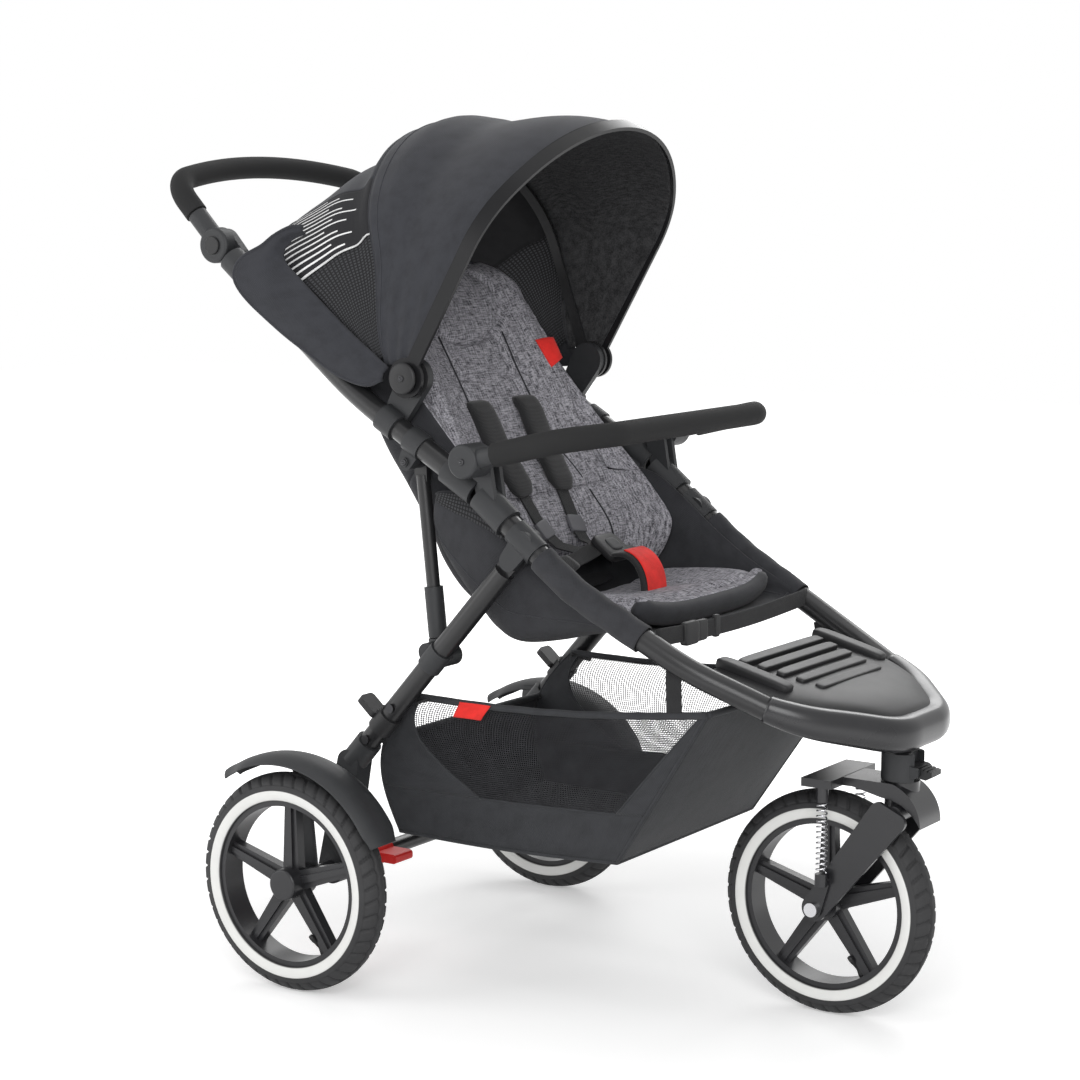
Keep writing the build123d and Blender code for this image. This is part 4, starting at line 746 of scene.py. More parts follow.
@dataclass(frozen=True)
class Striped(Finish):
    """Dark cloth with plain parallel stripes on part of its length."""

    stripe: Color = (0.8, 0.8, 0.8)
    pitch: float = 0.0095
    share: float = 0.3
    start: float = 0.032

    def detail(self, tree: Tree, shader: bpy.types.Node) -> None:
        """Stripes across the second axis of the cloth, over a weave."""
        where = tree.add("TexCoord").outputs["UV"]
        parts = tree.add("SeparateXYZ", Vector=where)
        count = tree.math("MULTIPLY", parts.outputs[1], 1.0 / self.pitch)
        mask = tree.math("LESS_THAN", tree.math("FRACT", count), self.share)
        step = tree.math("FRACT", tree.math("MULTIPLY", tree.math("FLOOR", count), 0.382))
        from_here = tree.math("MULTIPLY_ADD", step, 0.07)
        from_here.node.inputs[2].default_value = self.start
        mask = tree.math("MULTIPLY", mask, tree.math("GREATER_THAN", parts.outputs[0], from_here))
        stops = [(0.45, self.color), (0.55, self.stripe)]
        tree.tree.links.new(tree.ramp(mask, stops), shader.inputs["Base Color"])
        weave = tree.group(weave_effect(), Vector=where, Threads=420.0)
        self.bump(tree, shader, weave.outputs["Height"], 0.3, 0.0005)
        shader.inputs["Specular IOR Level"].default_value = CLOTH_SPECULAR


@dataclass(frozen=True)
class TyreRubber(Finish):
    """Black rubber with a pale sidewall band where the mesh says so."""

    wall: Color = (0.78, 0.78, 0.76)

    def detail(self, tree: Tree, shader: bpy.types.Node) -> None:
        """Band colour from the mesh attribute, rubber grain in the normal."""
        where = tree.add("TexCoord").outputs["Object"]
        grain = tree.group(grain_effect(), Vector=where, Scale=420.0)
        band = tree.add("Attribute", {"attribute_name": "sidewall"}).outputs["Fac"]
        dust = tuple(1.7 * c for c in self.color)
        shade = tuple(0.94 * c for c in self.wall)
        dusty = tree.ramp(grain.outputs["Marks"], [(0.35, self.color), (0.75, dust)])
        pale = tree.ramp(grain.outputs["Marks"], [(0.3, shade), (0.7, self.wall)])
        mixed = tree.add("Mix", {"data_type": "RGBA"}, _0=band, _6=dusty, _7=pale)
        tree.tree.links.new(mixed.outputs[2], shader.inputs["Base Color"])
        self.bump(tree, shader, grain.outputs["Height"], 0.2, 0.0004)


POWDER_COAT = Moulding("satin_powder_coat", (0.015, 0.015, 0.016), 0.32, 1400.0, 0.12, 0.2)
BLACK_PLASTIC = Moulding("black_moulding", (0.017, 0.017, 0.018), 0.46, 1100.0, 0.22)
GREY_PLASTIC = Moulding("charcoal_moulding", (0.027, 0.028, 0.030), 0.5, 1100.0, 0.25)
ADJUSTER_PLASTIC = Moulding("adjuster_moulding", (0.11, 0.11, 0.12), 0.45, 1100.0, 0.2)
GLOSS_PLASTIC = Moulding("semi_gloss_moulding", (0.016, 0.016, 0.018), 0.3, 1500.0, 0.08, 0.3)
BOW_PLASTIC = Moulding("bow_moulding", (0.011, 0.011, 0.012), 0.34, 1500.0, 0.08, 0.05, 0.14)
RIM_PLASTIC = Moulding("wheel_moulding", (0.02, 0.02, 0.022), 0.36, 1200.0, 0.12, 0.15)
GRIP_FOAM = Moulding("grip_foam", (0.014, 0.014, 0.0145), 0.85, 620.0, 0.55)
RED_PLASTIC = Moulding("red_moulding", (0.62, 0.02, 0.018), 0.42, 1100.0, 0.15)
STEEL = Metal("plated_steel", (0.62, 0.62, 0.64), 0.25)
DARK_STEEL = Metal("dark_steel", (0.05, 0.05, 0.053), 0.4)
CANOPY_CLOTH = Cloth("canopy_cloth", (0.026, 0.027, 0.032), 0.8, 430.0, 0.3)
LINING_CLOTH = Cloth("lining_cloth", (0.009, 0.009, 0.01), 0.85, 430.0, 0.3, 0.02)
HOOD_LINING = Melange("hood_lining_melange", (0.052, 0.052, 0.054), 0.9, (0.016, 0.016, 0.017))
SEAT_CLOTH = Cloth("seat_cloth", (0.026, 0.0265, 0.03), 0.78, 380.0, 0.4)
PAD_CLOTH = Cloth("harness_pad_cloth", (0.013, 0.013, 0.014), 0.8, 420.0, 0.35, 0.2, Place.OBJECT)
BASKET_CLOTH = Cloth("basket_cloth", (0.026, 0.027, 0.03), 0.72, 360.0, 0.4)
WEBBING = Cloth("webbing", (0.014, 0.014, 0.015), 0.7, 520.0, 0.7)
RED_CLOTH = Cloth("red_tag_cloth", (0.68, 0.025, 0.02), 0.7, 520.0, 0.35)
PIPING = Cloth("pale_piping", (0.6, 0.6, 0.6), 0.6, 600.0, 0.3)
LINER = Melange("liner_melange", (0.47, 0.46, 0.50), 0.9, (0.05, 0.049, 0.057))
WINDOW_NET = Net("window_net", (0.012, 0.012, 0.013), 0.8, 250.0, 0.6, (0.045, 0.046, 0.05))
BASKET_NET = Net("basket_net", (0.03, 0.03, 0.033), 0.75, 300.0, 0.3)
AIR_NET = Net("air_net", (0.016, 0.016, 0.017), 0.8, 220.0, 0.55, (0.055, 0.056, 0.06))
STRIPES = Striped("striped_panel", (0.018, 0.018, 0.02), 0.8)
RUBBER = TyreRubber("tyre_rubber", (0.017, 0.017, 0.018), 0.72)


def dress(piece: bpy.types.Object, finish: Finish, slot: str | None = None) -> bpy.types.Object:
    """Give a piece its finish; the slot, the record's node it stands for, is not used."""
    piece.data.materials.clear()
    piece.data.materials.append(finish.material())
    log.info("piece %s: %s", piece.name, finish.name)
    return piece


def repaint(frame: dict, finish: Finish, *nodes: str) -> None:
    """Give carried-over CAD nodes a finish through their material slots."""
    for node in nodes:
        for slot in frame["nodes"][node].material_slots:
            slot.material = finish.material()
        log.info("node %s: %s", node, finish.name)


# sub-assemblies


@dataclass
class Studio:
    """Floor, lights and camera."""

    eye: Point = (1.8542, -2.8653, 1.0495)
    look: Point = (-0.5484, 0.8251, -0.1357)
    focal: float = 85.56
    sensor: float = 36.0
    sky: float = 0.42
    floor_half: float = 9.0
    floor_light: Table = ((0.55, 0.30), (1.5, 1.0))
    lamp_target: Point = (0.0, 0.0, 0.55)
    lamps: tuple[tuple[str, Point, float, float], ...] = (
        ("key", (1.9, -2.9, 1.9), 2.0, 74.0),
        ("fill", (-2.4, -2.4, 1.6), 2.2, 34.0),
        ("rim", (-0.8, 3.0, 2.6), 2.0, 40.0),
        ("top", (0.0, 0.0, 3.4), 2.4, 16.0),
    )

    def build(self) -> None:
        """Make the floor, the world, the lamps and the camera."""
        scene = bpy.context.scene
        scene.view_settings.view_transform = "Standard"
        self.world(scene)
        self.floor()
        for name, place, size, power in self.lamps:
            self.lamp(name, place, size, power)
        data = bpy.data.cameras.new("camera")
        data.lens = self.focal
        data.sensor_width = self.sensor
        camera = bpy.data.objects.new("camera", data)
        camera.location = self.eye
        camera.rotation_euler = Vector(self.look).to_track_quat("-Z", "Y").to_euler()
        scene.collection.objects.link(camera)
        scene.camera = camera

    def world(self, scene: bpy.types.Scene) -> None:
        """A soft even sky that shows as white to the camera and to reflections."""
        world = bpy.data.worlds.new("studio")
        world.use_nodes = True
        scene.world = world
        tree = Tree(world.node_tree)
        back = world.node_tree.nodes["Background"]
        strength = tree.math("MULTIPLY_ADD", self.seen(tree), 1.0 - self.sky)
        strength.node.inputs[2].default_value = self.sky
        back.inputs["Color"].default_value = (1.0, 1.0, 1.0, 1.0)
        world.node_tree.links.new(strength, back.inputs["Strength"])

    @staticmethod
    def seen(tree: Tree) -> bpy.types.NodeSocket:
        """One for rays of the camera, of reflections and through glass or net, and zero for all others."""
        rays = tree.add("LightPath").outputs
        bounced = tree.math("MAXIMUM", rays["Is Glossy Ray"], rays["Is Transmission Ray"])
        return tree.math("MAXIMUM", rays["Is Camera Ray"], bounced)

    def floor(self) -> None:
        """A plain pale floor that keeps the object's shadow and fades to white away from it."""
        side = np.linspace(-self.floor_half, self.floor_half, 3)
        grid = np.stack([*np.meshgrid(side, side, indexing="ij"), np.zeros((3, 3))], axis=-1)
        floor = lay("floor", grid)
        paint = bpy.data.materials.new("pale_floor")
        paint.use_nodes = True
        tree = Tree(paint.node_tree)
        shader = paint.node_tree.nodes["Principled BSDF"]
        shader.inputs["Base Color"].default_value = (0.94, 0.94, 0.94, 1.0)
        shader.inputs["Roughness"].default_value = 0.9
        shader.inputs["Specular IOR Level"].default_value = 0.0
        where = tree.add("TexCoord").outputs["Object"]
        away = tree.add("VectorMath", {"operation": "LENGTH"}, _0=where).outputs["Value"]
        (near, dim), (far, full) = self.floor_light
        fade = tree.add("MapRange", {"interpolation_type": "SMOOTHSTEP"}, Value=away, _1=near, _2=far, _3=dim,
                        _4=full).outputs[0]
        shader.inputs["Emission Color"].default_value = (1.0, 1.0, 1.0, 1.0)
        tree.feed(shader.inputs["Emission Strength"], tree.math("MULTIPLY", self.seen(tree), fade))
        floor.data.materials.append(paint)

    def lamp(self, name: str, place: Point, size: float, power: float) -> None:
        """One soft square lamp aimed at the middle of the stroller."""
        data = bpy.data.lights.new(name, "AREA")
        data.size = size
        data.energy = power
        lamp = bpy.data.objects.new(name, data)
        lamp.location = place
        aim = Vector(self.lamp_target) - Vector(place)
        lamp.rotation_euler = aim.to_track_quat("-Z", "Y").to_euler()
        bpy.context.scene.collection.objects.link(lamp)


@dataclass
class Wheel:
    """One wheel: a treaded tyre over the CAD tyre, and a valve on the rim; its name is a pattern."""

    name: str
    body: str
    centre: Point
    valve_side: float = -1.0
    radius: float = 0.146
    section: float = 0.0235
    tread: float = 0.0026
    blocks: int = 46
    bead: float = 119.0
    band: float = 84.0
    valve_angle: float = -62.0
    valve_seat: float = 0.1045

    def build(self) -> None:
        """Make the tyre and the valve."""
        tyre = self.tyre()
        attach(tyre, self.body)
        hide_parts(self.node("tyre"))
        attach(self.valve(), self.body)

    def node(self, part: str) -> str:
        """The name of this wheel's CAD node for a part."""
        return self.name.format(part)

    def tyre(self) -> bpy.types.Object:
        """A torus band with leaf-shaped tread blocks and a stepped sidewall band.

        Formula: r = R - a + (a - d) cos(phi), y = (a - d) sin(phi), where the depth d of the grooves is
        the tread's depth times a mask of slanted grooves on the shoulders and zigzag grooves beside the
        middle.
        """
        outer = np.linspace(self.band + 1.2, self.bead, 9)
        middle = np.linspace(2.0 - self.band, self.band - 2.0, 57)
        phi = np.radians(np.concatenate([-outer[::-1], [-self.band], middle, [self.band], outer]))
        theta = np.linspace(0.0, 2 * pi, 552, endpoint=False)
        t, p = np.meshgrid(theta, phi, indexing="ij")
        lean = np.abs(p) / radians(60.0)
        phase = (t * self.blocks / (2 * pi) + 0.5 * lean + 0.5 * (p > 0)) % 1.0
        slant = smoothstep(0.0, 0.05, phase) * (1 - smoothstep(0.2, 0.27, phase))
        shoulder = smoothstep(0.27, 0.33, lean) * (1 - smoothstep(1.02, 1.1, lean))
        zigzag = np.abs((t * self.blocks / (2 * pi)) % 1.0 - 0.5)
        middle = 1 - smoothstep(0.035, 0.075, np.abs(lean - 0.2 - 0.16 * zigzag))
        edge = 1 - smoothstep(0.02, 0.05, np.abs(lean - 1.07))
        depth = self.tread * np.clip(np.maximum(slant * shoulder, middle) + 0.35 * edge, 0.0, 1.0)
        degree = np.degrees(np.abs(p))
        wall = smoothstep(self.band - 0.1, self.band + 0.8, degree)
        wall = wall * (1 - smoothstep(self.bead - 2.0, self.bead - 1.0, degree))
        a = self.section - depth + 0.0006 * wall
        r = self.radius - self.section + a * np.cos(p)
        grid = np.stack([r * np.cos(t), a * np.sin(p), r * np.sin(t)], axis=-1) + np.asarray(self.centre)
        piece = lay(self.node("tyre") + "_treaded", grid, wrap_u=True, wrap_v=True,
                    attributes={"sidewall": wall})
        return dress(piece, RUBBER, self.node("tyre"))

    def valve(self) -> bpy.types.Object:
        """A valve stem that leans out of the rim towards the hub."""
        angle = radians(self.valve_angle)
        out = np.array([cos(angle), 0.0, sin(angle)])
        side = np.array([0.0, self.valve_side, 0.0])
        start = np.asarray(self.centre) + self.valve_seat * out
        bend, tip = start - 0.012 * out + 0.002 * side, start - 0.03 * out + 0.012 * side
        path = even(np.stack([start, bend, tip]), 9)
        scale = np.array([1.5, 1.5, 1.2, 1.0, 1.0, 1.0, 1.25, 1.25, 1.0])
        section = rounded_profile(0.0056, 0.0056, 14, 2.0)
        stem = sweep(self.node("valve"), path, section, (0.0, 1.0, 0.01), scale)
        return dress(stem, BLACK_PLASTIC, self.node("rim"))


@dataclass(frozen=True)
class Canopy:
    """Hood cloth on the front bow and the mid rib, with net windows and side flaps."""

    hub: tuple[float, float] = (-0.105, 0.809)
    corner: float = 0.092
    side: float = 0.190
    lift: float = 0.145
    foot: float = 0.016
    wall: float = 0.0014
    hood_lifts: Table = ((55, 0.150), (60, 0.1462), (70, 0.1336), (86, 0.1117), (94, 0.1175), (100, 0.126),
                         (105, 0.1251), (109.5, 0.1246), (113, 0.1240))
    hood_halves: Table = ((55, 0.2236), (60, 0.2234), (70, 0.2224), (86, 0.2195), (98, 0.2178), (104, 0.2174),
                          (109.5, 0.2174), (114, 0.2174))
    rear_lifts: Table = ((105, 0.1251), (109.5, 0.1246), (111.3, 0.1234), (117.2, 0.1069), (125, 0.1135),
                         (136, 0.1236), (147, 0.148), (152, 0.158))
    rear_halves: Table = ((104, 0.2174), (109.5, 0.2174), (128, 0.2198), (147, 0.2196), (152, 0.2196))

    def arch(self, half: float, lift: float, count: int) -> Array:
        """The arch of a hoop as (y, height above the hub) points, evenly spaced from right to left.

        Formula: two straight sides, two corner arcs about (+-corner, side) and a crown arc tangent to both.
        """
        reach = self.lift + self.corner
        crown = (reach**2 - self.side**2 - self.corner**2) / (2 * (reach - self.side))
        lean = np.arctan2(self.side - crown, self.corner)
        shift = lift - self.lift
        low = np.stack([np.full(12, half), np.linspace(self.foot, self.side + shift, 12)], axis=1)
        a = np.linspace(0.0, lean, 16)
        bend = np.stack([self.corner + (half - self.corner) * np.cos(a),
                         self.side + shift + (half - self.corner) * np.sin(a)], axis=1)
        b = np.linspace(lean, pi / 2, 30)
        top = np.stack([(self.lift + half - crown) * np.cos(b),
                        crown + shift + (self.lift + half - crown) * np.sin(b)], axis=1)
        left = np.vstack([low, bend[1:], top[1:]])
        right = left[::-1][1:] * np.array([-1.0, 1.0])
        return even(np.vstack([left, right])[::-1], count)

    def surface(self, angles: Array, halves: Array, lifts: Array, count: int, sag: float = 0.0) -> Array:
        """Cloth between hoops: the arch of each angle, turned about the hub axis.

        Formula: x = hub_x + h cos(angle), z = hub_z + h sin(angle), with (y, h) from the arch; the sag draws
        the middle of the cloth inwards and adds shallow folds that fan out from the hubs; near the feet the
        cloth beside the mid rib is swept back.
        """
        rows = np.stack([self.arch(w, l, count) for w, l in zip(halves, lifts)])
        y, h = rows[..., 0], rows[..., 1]
        run = np.linspace(0.0, 1.0, len(angles))[:, None]
        s = np.linspace(0.0, 1.0, count)[None, :]
        near = np.exp(-np.minimum(s, 1 - s) / 0.11)
        folds = 0.0012 * np.sin(9.0 * pi * run) * near * np.sin(pi * run)
        dip = sag * np.sin(pi * run) * np.sin(pi * s) ** 0.5
        h = h - dip
        y = y + np.sign(y) * folds
        turn = np.radians(angles)[:, None]
        swept = smoothstep(62.0, 108.0, angles)[:, None]
        back = 0.034 * swept * (1 - smoothstep(0.03, 0.19, h))
        return np.stack([self.hub[0] + h * np.cos(turn) - back, y, self.hub[1] + h * np.sin(turn)], axis=-1)

    @staticmethod
    def stations(angles: Array, table: Table) -> Array:
        """Values at angles, on a smooth curve through a table of (angle, value)."""
        curve = through(table, 200)
        return np.interp(angles, curve[:, 0], curve[:, 1])

    def build(self) -> None:
        """Make the front hood, the rear panels, the trims and the flaps."""
        self.front()
        self.rear()
        self.trims()
        self.flaps()

    def front(self) -> None:
        """The front hood, one sheet from the bow to the mid rib."""
        angles = np.linspace(59.0, 109.5, 34)
        lifts, halves = self.stations(angles, self.hood_lifts), self.stations(angles, self.hood_halves)
        grid = self.surface(angles, halves, lifts, 120, 0.0015)
        hood = dress(lay("canopy_hood", grid), CANOPY_CLOTH, "canopy_front_panel")
        lined(hood, self.wall, HOOD_LINING, True)
        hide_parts("canopy_front_panel", "canopy_mid_panel")
        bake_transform(hood)

    def rear(self) -> None:
        """The rear hood: a plain top, striped shoulders and net windows, behind the mid rib."""
        angles = np.linspace(109.5, 147.0, 26)
        lifts, halves = self.stations(angles, self.rear_lifts), self.stations(angles, self.rear_halves)
        cells = 400
        whole = self.surface(angles, halves, lifts, cells + 1, 0.001)
        run = np.linspace(0.0, 1.0, len(angles))[:, None]
        low = 0.194 + 0.011 * run
        high = 0.29 + 0.10 * run

        def strip(first: Array | float, last: Array | float, count: int) -> Array:
            """The part of the rear surface between two shares of the arch."""
            share = first + (last - first) * np.linspace(0.0, 1.0, count)[None, :]
            place = np.broadcast_to(share, (len(angles), count)) * cells
            k = np.minimum(place.astype(int), cells - 1)
            f = (place - k)[..., None]
            row = np.arange(len(angles))[:, None]
            return whole[row, k] * (1 - f) + whole[row, k + 1] * f

        top = strip(high, 1 - high, 70)
        back = dress(lay("canopy_back", top), CANOPY_CLOTH, "canopy_rear_panel")
        lined(back, self.wall, LINING_CLOTH, True)
        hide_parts("canopy_rear_panel")
        parts = [back]
        for label, first, last, finish in (("stripes", low, high, STRIPES),
                                           ("window", 0.012, low, WINDOW_NET)):
            grid = strip(first, last, 22)
            for side, points in (("right", grid), ("left", mirrored(grid))):
                piece = dress(lay(f"canopy_{label}_{side}", points), finish, "canopy_rear_panel")
                lined(piece, self.wall * 0.6, finish if label == "window" else LINING_CLOTH, side == "right")
                parts.append(piece)
        around = strip(low - 0.004, low + 0.004, 3)
        out = unit(np.cross(around[:, 2] - around[:, 0], np.gradient(around[:, 1], axis=0)))
        from_hub = around[:, 1] - np.array([self.hub[0], 0.0, self.hub[1]])
        out *= np.sign((out * from_hub).sum(axis=1, keepdims=True))
        edge = around[:, 1] + 0.0016 * out
        for side, path in (("right", edge), ("left", mirrored(edge))):
            trim = sweep(f"window_piping_{side}", path, rounded_profile(0.0024, 0.0024, 8, 2.0), (0, 0, 1))
            parts.append(dress(trim, PIPING, "canopy_rear_panel"))
        hem = whole[-1, 12:-12:4]
        roll = cord_along("canopy_back_hem", hem, 0.003, (1.0, 0, 0.2))
        parts.append(dress(roll, CANOPY_CLOTH, "canopy_rear_panel"))
        for piece in parts:
            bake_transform(piece)

    def trims(self) -> None:
        """A cord where the hood meets the front bow, and two seams over the mid rib."""
        row = self.surface(np.array([62.1, 62.2]), np.full(2, 0.2250), np.full(2, 0.1452), 130)[0]
        cord = sweep("bow_piping", row[8:-8], rounded_profile(0.0026, 0.0026, 8, 2.0), (0.5, 0, 0.9))
        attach(dress(cord, LINING_CLOTH, "canopy_front_bow"), "front_bow")
        angles = np.array([105.6, 109.4])
        lifts, halves = self.stations(angles, self.hood_lifts), self.stations(angles, self.hood_halves)
        for edge, row in zip(("front", "rear"), self.surface(angles, halves + 0.0003, lifts, 120)):
            seam = sweep(f"mid_rib_seam_{edge}", row, rounded_profile(0.0022, 0.0018, 8, 2.0), (1, 0, 0.3))
            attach(dress(seam, CANOPY_CLOTH, "canopy_mid_panel"), "mid_rib")

    def flaps(self) -> None:
        """Broad flaps that hang from the rear hem outside the upper tubes, behind the hubs."""
        inner = through([(-0.136, 0.822), (-0.203, 0.870), (-0.256, 0.913), (-0.281, 0.934), (-0.301, 0.951),
                         (-0.309, 0.962), (-0.310, 0.972), (-0.304, 0.983), (-0.290, 0.990)], 60)
        outer = through([(-0.140, 0.806), (-0.167, 0.798), (-0.217, 0.811), (-0.265, 0.839), (-0.313, 0.867),
                         (-0.355, 0.897), (-0.380, 0.922), (-0.385, 0.940), (-0.373, 0.958), (-0.341, 0.974),
                         (-0.325, 0.988), (-0.306, 0.999), (-0.288, 1.000)], 80)
        inner, outer = even(inner, 60), even(outer, 60)
        v = np.linspace(0.0, 1.0, 18)[None, :]
        u = np.linspace(0.0, 1.0, 60)[:, None]
        flat = inner[:, None] * (1 - v[..., None]) + outer[:, None] * v[..., None]
        bulge = 0.2235 + 0.0085 * smoothstep(0.0, 0.55, v) + 0.003 * np.sin(pi * v) * np.sin(pi * u)
        bulge = bulge - 0.026 * smoothstep(0.78, 1.0, u) ** 1.5 + 0.0010 * np.sin(7 * pi * u) * v
        grid = np.stack([flat[..., 0], -bulge, flat[..., 1]], axis=-1)
        for side, cells in (("right", grid), ("left", mirrored(grid))):
            flap = thicken(lay(f"canopy_flap_{side}", cells), 0.0018)
            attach(dress(flap, CANOPY_CLOTH, "canopy_side_flaps"), "upper_frame")
            if side == "right":
                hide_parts("canopy_side_flaps")
            hem = sweep(f"flap_hem_{side}", cells[:, -1], rounded_profile(0.005, 0.004, 10, 2.0), (0, 1, 0))
            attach(dress(hem, CANOPY_CLOTH, "canopy_side_flaps"), "upper_frame")


@dataclass
class Pad:
    """A filled pad lying on a plane, with sewn lines.

    Its stations are (place along the run, half width, thickness), and its dish is the depth in the middle
    and the rise at the sides.
    """

    name: str
    node: str
    body: str
    origin: Point
    run: Point
    stations: Sequence[tuple[float, float, float]]
    seams: Callable[[Array, Array], Array]
    cap: float = 0.007
    dish: tuple[float, float] = (0.0, 0.0)
    finish: Finish = LINER
    piece: bpy.types.Object | None = None

    @property
    def up(self) -> Array:
        """Unit vector out of the pad's plane."""
        run, hint = unit(np.asarray(self.run)), np.array([0.6, 0.0, 0.8])
        return unit(hint - (hint @ run) * run)

    def face(self, s: Array, y: Array) -> Array:
        """Heights of the finished front face at places along and across, from the vertices close by."""
        p = coordinates(self.piece.data) - np.asarray(self.origin)
        along, out = p @ unit(np.asarray(self.run)), p @ self.up
        near = 0.006
        close = (np.abs(along[None] - s[:, None]) < near) & (np.abs(p[None, :, 1] - y[:, None]) < near)
        return np.where(close, out[None], 0.0).max(axis=1)

    def build(self) -> Pad:
        run, up = unit(np.asarray(self.run)), self.up
        table = through(self.stations, 60)
        along, half, thick = table.T
        base = np.asarray(self.origin) + along[:, None] * run + 0.5 * thick[:, None] * up
        scale = np.stack([half, thick * 0.86], axis=1)
        piece = sweep(self.name, base, rounded_profile(2.0, 1.0, 64, 5.0), up, scale)
        inflate(piece, 0.0055, self.cap)
        finer(piece)

        def sew(p: Array) -> Array:
            """Draw the front face down along the sewn lines."""
            rel = p - np.asarray(self.origin)
            s, h = rel @ run, rel @ up
            front = smoothstep(0.3, 0.6, h / np.interp(s, along, thick))
            curve = -self.dish[0] + sum(self.dish) * np.abs(p[:, 1] / half.max()) ** 2.4
            rise = np.maximum(curve, 0.0) * (0.6 + 0.4 * front) + np.minimum(curve, 0.0) * front
            return p + (rise - self.seams(s, p[:, 1]) * front)[:, None] * up

        reshape(piece, sew)
        dress(piece, self.finish, self.node)
        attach(piece, self.body)
        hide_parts(self.node)
        self.piece = piece
        return self


@dataclass
class Seat:
    """Liner pads, sling, side walls and sleeves."""

    hinge: Point = (-0.080, 0.0, 0.660)
    lean: float = 119.0
    half: float = 0.172
    sling_half: float = 0.1905
    air_half: float = 0.1926
    bag_half: float = 0.168
    wing_half: float = 0.181
    back: Pad | None = None
    lower: Pad | None = None

    @property
    def run(self) -> Array:
        """Unit vector up the backrest."""
        return np.array([cos(radians(self.lean)), 0.0, sin(radians(self.lean))])

    @property
    def up(self) -> Array:
        """Unit vector out of the backrest, towards the child."""
        return np.cross((0.0, 1.0, 0.0), self.run)

    def on_back(self, s: Array | float, y: Array | float, h: Array | float) -> Array:
        """Points given along, across and out of the backrest."""
        outer = np.multiply.outer
        return np.asarray(self.hinge) + outer(s, self.run) + outer(h, self.up) + outer(y, LEFTWARD)

    def face(self, s: Array, y: Array) -> Array:
        """Height of the liner's face above the backrest plane, carried over the two back pads' joint."""
        high = self.back.face(np.maximum(s, 0.024), y)
        low = self.lower.face(np.minimum(s, -0.030), y)
        return low + (high - low) * np.clip((s + 0.030) / 0.054, 0.0, 1.0)

    def build(self) -> None:
        """Make every piece of the seat."""
        self.pads()
        self.tag()
        self.cover()
        self.bridge()
        self.seams()
        self.sling()
        self.back_cloth()
        self.walls()
        self.sleeves()
        self.lip()

    def pads(self) -> None:
        """The three liner pads: reclining back, lower back and cushion."""
        w = self.half

        def back_seams(s: Array, y: Array) -> Array:
            """Two lengthwise lines, the head pillow's outline and a pair of harness slots."""
            ring = np.hypot(y / 0.098, (s - 0.262) / 0.062)
            pillow = groove(np.abs(ring - 1.0) * 0.075, 0.0045)
            inside = ring < 1.0
            lines = np.where(inside, 0.0, groove(np.abs(np.abs(y) - 0.062), 0.0045))
            slots = groove(np.abs(s - 0.148), 0.004) * smoothstep(0.03, 0.022, np.abs(np.abs(y) - 0.058))
            edge = groove(np.abs(np.abs(y) - (w - 0.016)), 0.0035)
            dome = inside * (1 - np.clip(ring, 0, 1) ** 2)
            return 0.0055 * lines + 0.006 * pillow + 0.006 * slots + 0.0025 * edge - 0.006 * dome

        def plain_seams(s: Array, y: Array) -> Array:
            """Two lengthwise lines and an edge line."""
            lines = groove(np.abs(np.abs(y) - 0.062), 0.0045)
            edge = groove(np.abs(np.abs(y) - (w - 0.016)), 0.0035)
            return 0.005 * lines + 0.0025 * edge

        o, r = self.hinge, tuple(self.run)
        stations = [(0.002, w - 0.008, 0.022), (0.03, w - 0.005, 0.026), (0.10, w - 0.001, 0.030),
                    (0.19, w, 0.030), (0.27, w - 0.010, 0.030), (0.305, w - 0.024, 0.026),
                    (0.33, w - 0.046, 0.014)]
        self.back = Pad("liner_back", "backrest_pad", "backrest", o, r, stations, back_seams,
                        dish=(0.020, 0.014)).build()
        stations = [(-0.134, w - 0.040, 0.016), (-0.122, w - 0.020, 0.024), (-0.09, w - 0.003, 0.030),
                    (-0.04, w - 0.002, 0.030), (-0.004, w - 0.006, 0.022)]
        self.lower = Pad("liner_lower_back", "lower_back_pad", "lower_frame", o, r, stations, plain_seams,
                         dish=(0.016, 0.010)).build()
        stations = [(0.0, w - 0.022, 0.016), (0.02, w - 0.008, 0.024), (0.07, w - 0.002, 0.026),
                    (0.13, w - 0.002, 0.027), (0.172, w - 0.010, 0.024), (0.186, w - 0.026, 0.014)]
        Pad("liner_cushion", "seat_cushion", "lower_frame", (0.026, 0.0, 0.494), (1.0, 0.0, 0.07), stations,
            plain_seams, dish=(0.006, 0.014)).build()

    def tag(self) -> None:
        """The plain red tag on the liner's left edge."""
        corners = [self.on_back(*q) for q in ((0.1875, 0.1275, 0.032), (0.1852, 0.160, 0.041),
                                              (0.1435, 0.1355, 0.032), (0.153, 0.159, 0.041))]
        u, v = np.linspace(0.0, 1.0, 10)[:, None, None], np.linspace(0.0, 1.0, 10)[None, :, None]
        top = corners[0] * (1 - u) + corners[1] * u
        bottom = corners[2] * (1 - u) + corners[3] * u
        cells = top * (1 - v) + bottom * v + 0.003 * np.sin(pi * u) * self.up
        label = thicken(lay("liner_tag", cells), 0.0016)
        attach(dress(label, RED_CLOTH, "backrest_pad"), "backrest")

    def cover(self) -> None:
        """The cloth stretched over the back of the backrest board."""
        shell = through([(0.03, -0.004), (0.1, -0.0065), (0.2, -0.0065), (0.29, -0.004)], 30)
        v = np.linspace(-1.0, 1.0, 40)[None, :]
        wide = 0.163 - 0.02 * smoothstep(0.24, 0.32, shell[:, :1])
        grid = self.on_back(shell[:, :1], wide * v, shell[:, 1:] - 0.004 * (1 - v**4))
        cover = thicken(lay("back_cover", grid), 0.0022)
        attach(dress(cover, SEAT_CLOTH, "backrest_board"), "backrest")

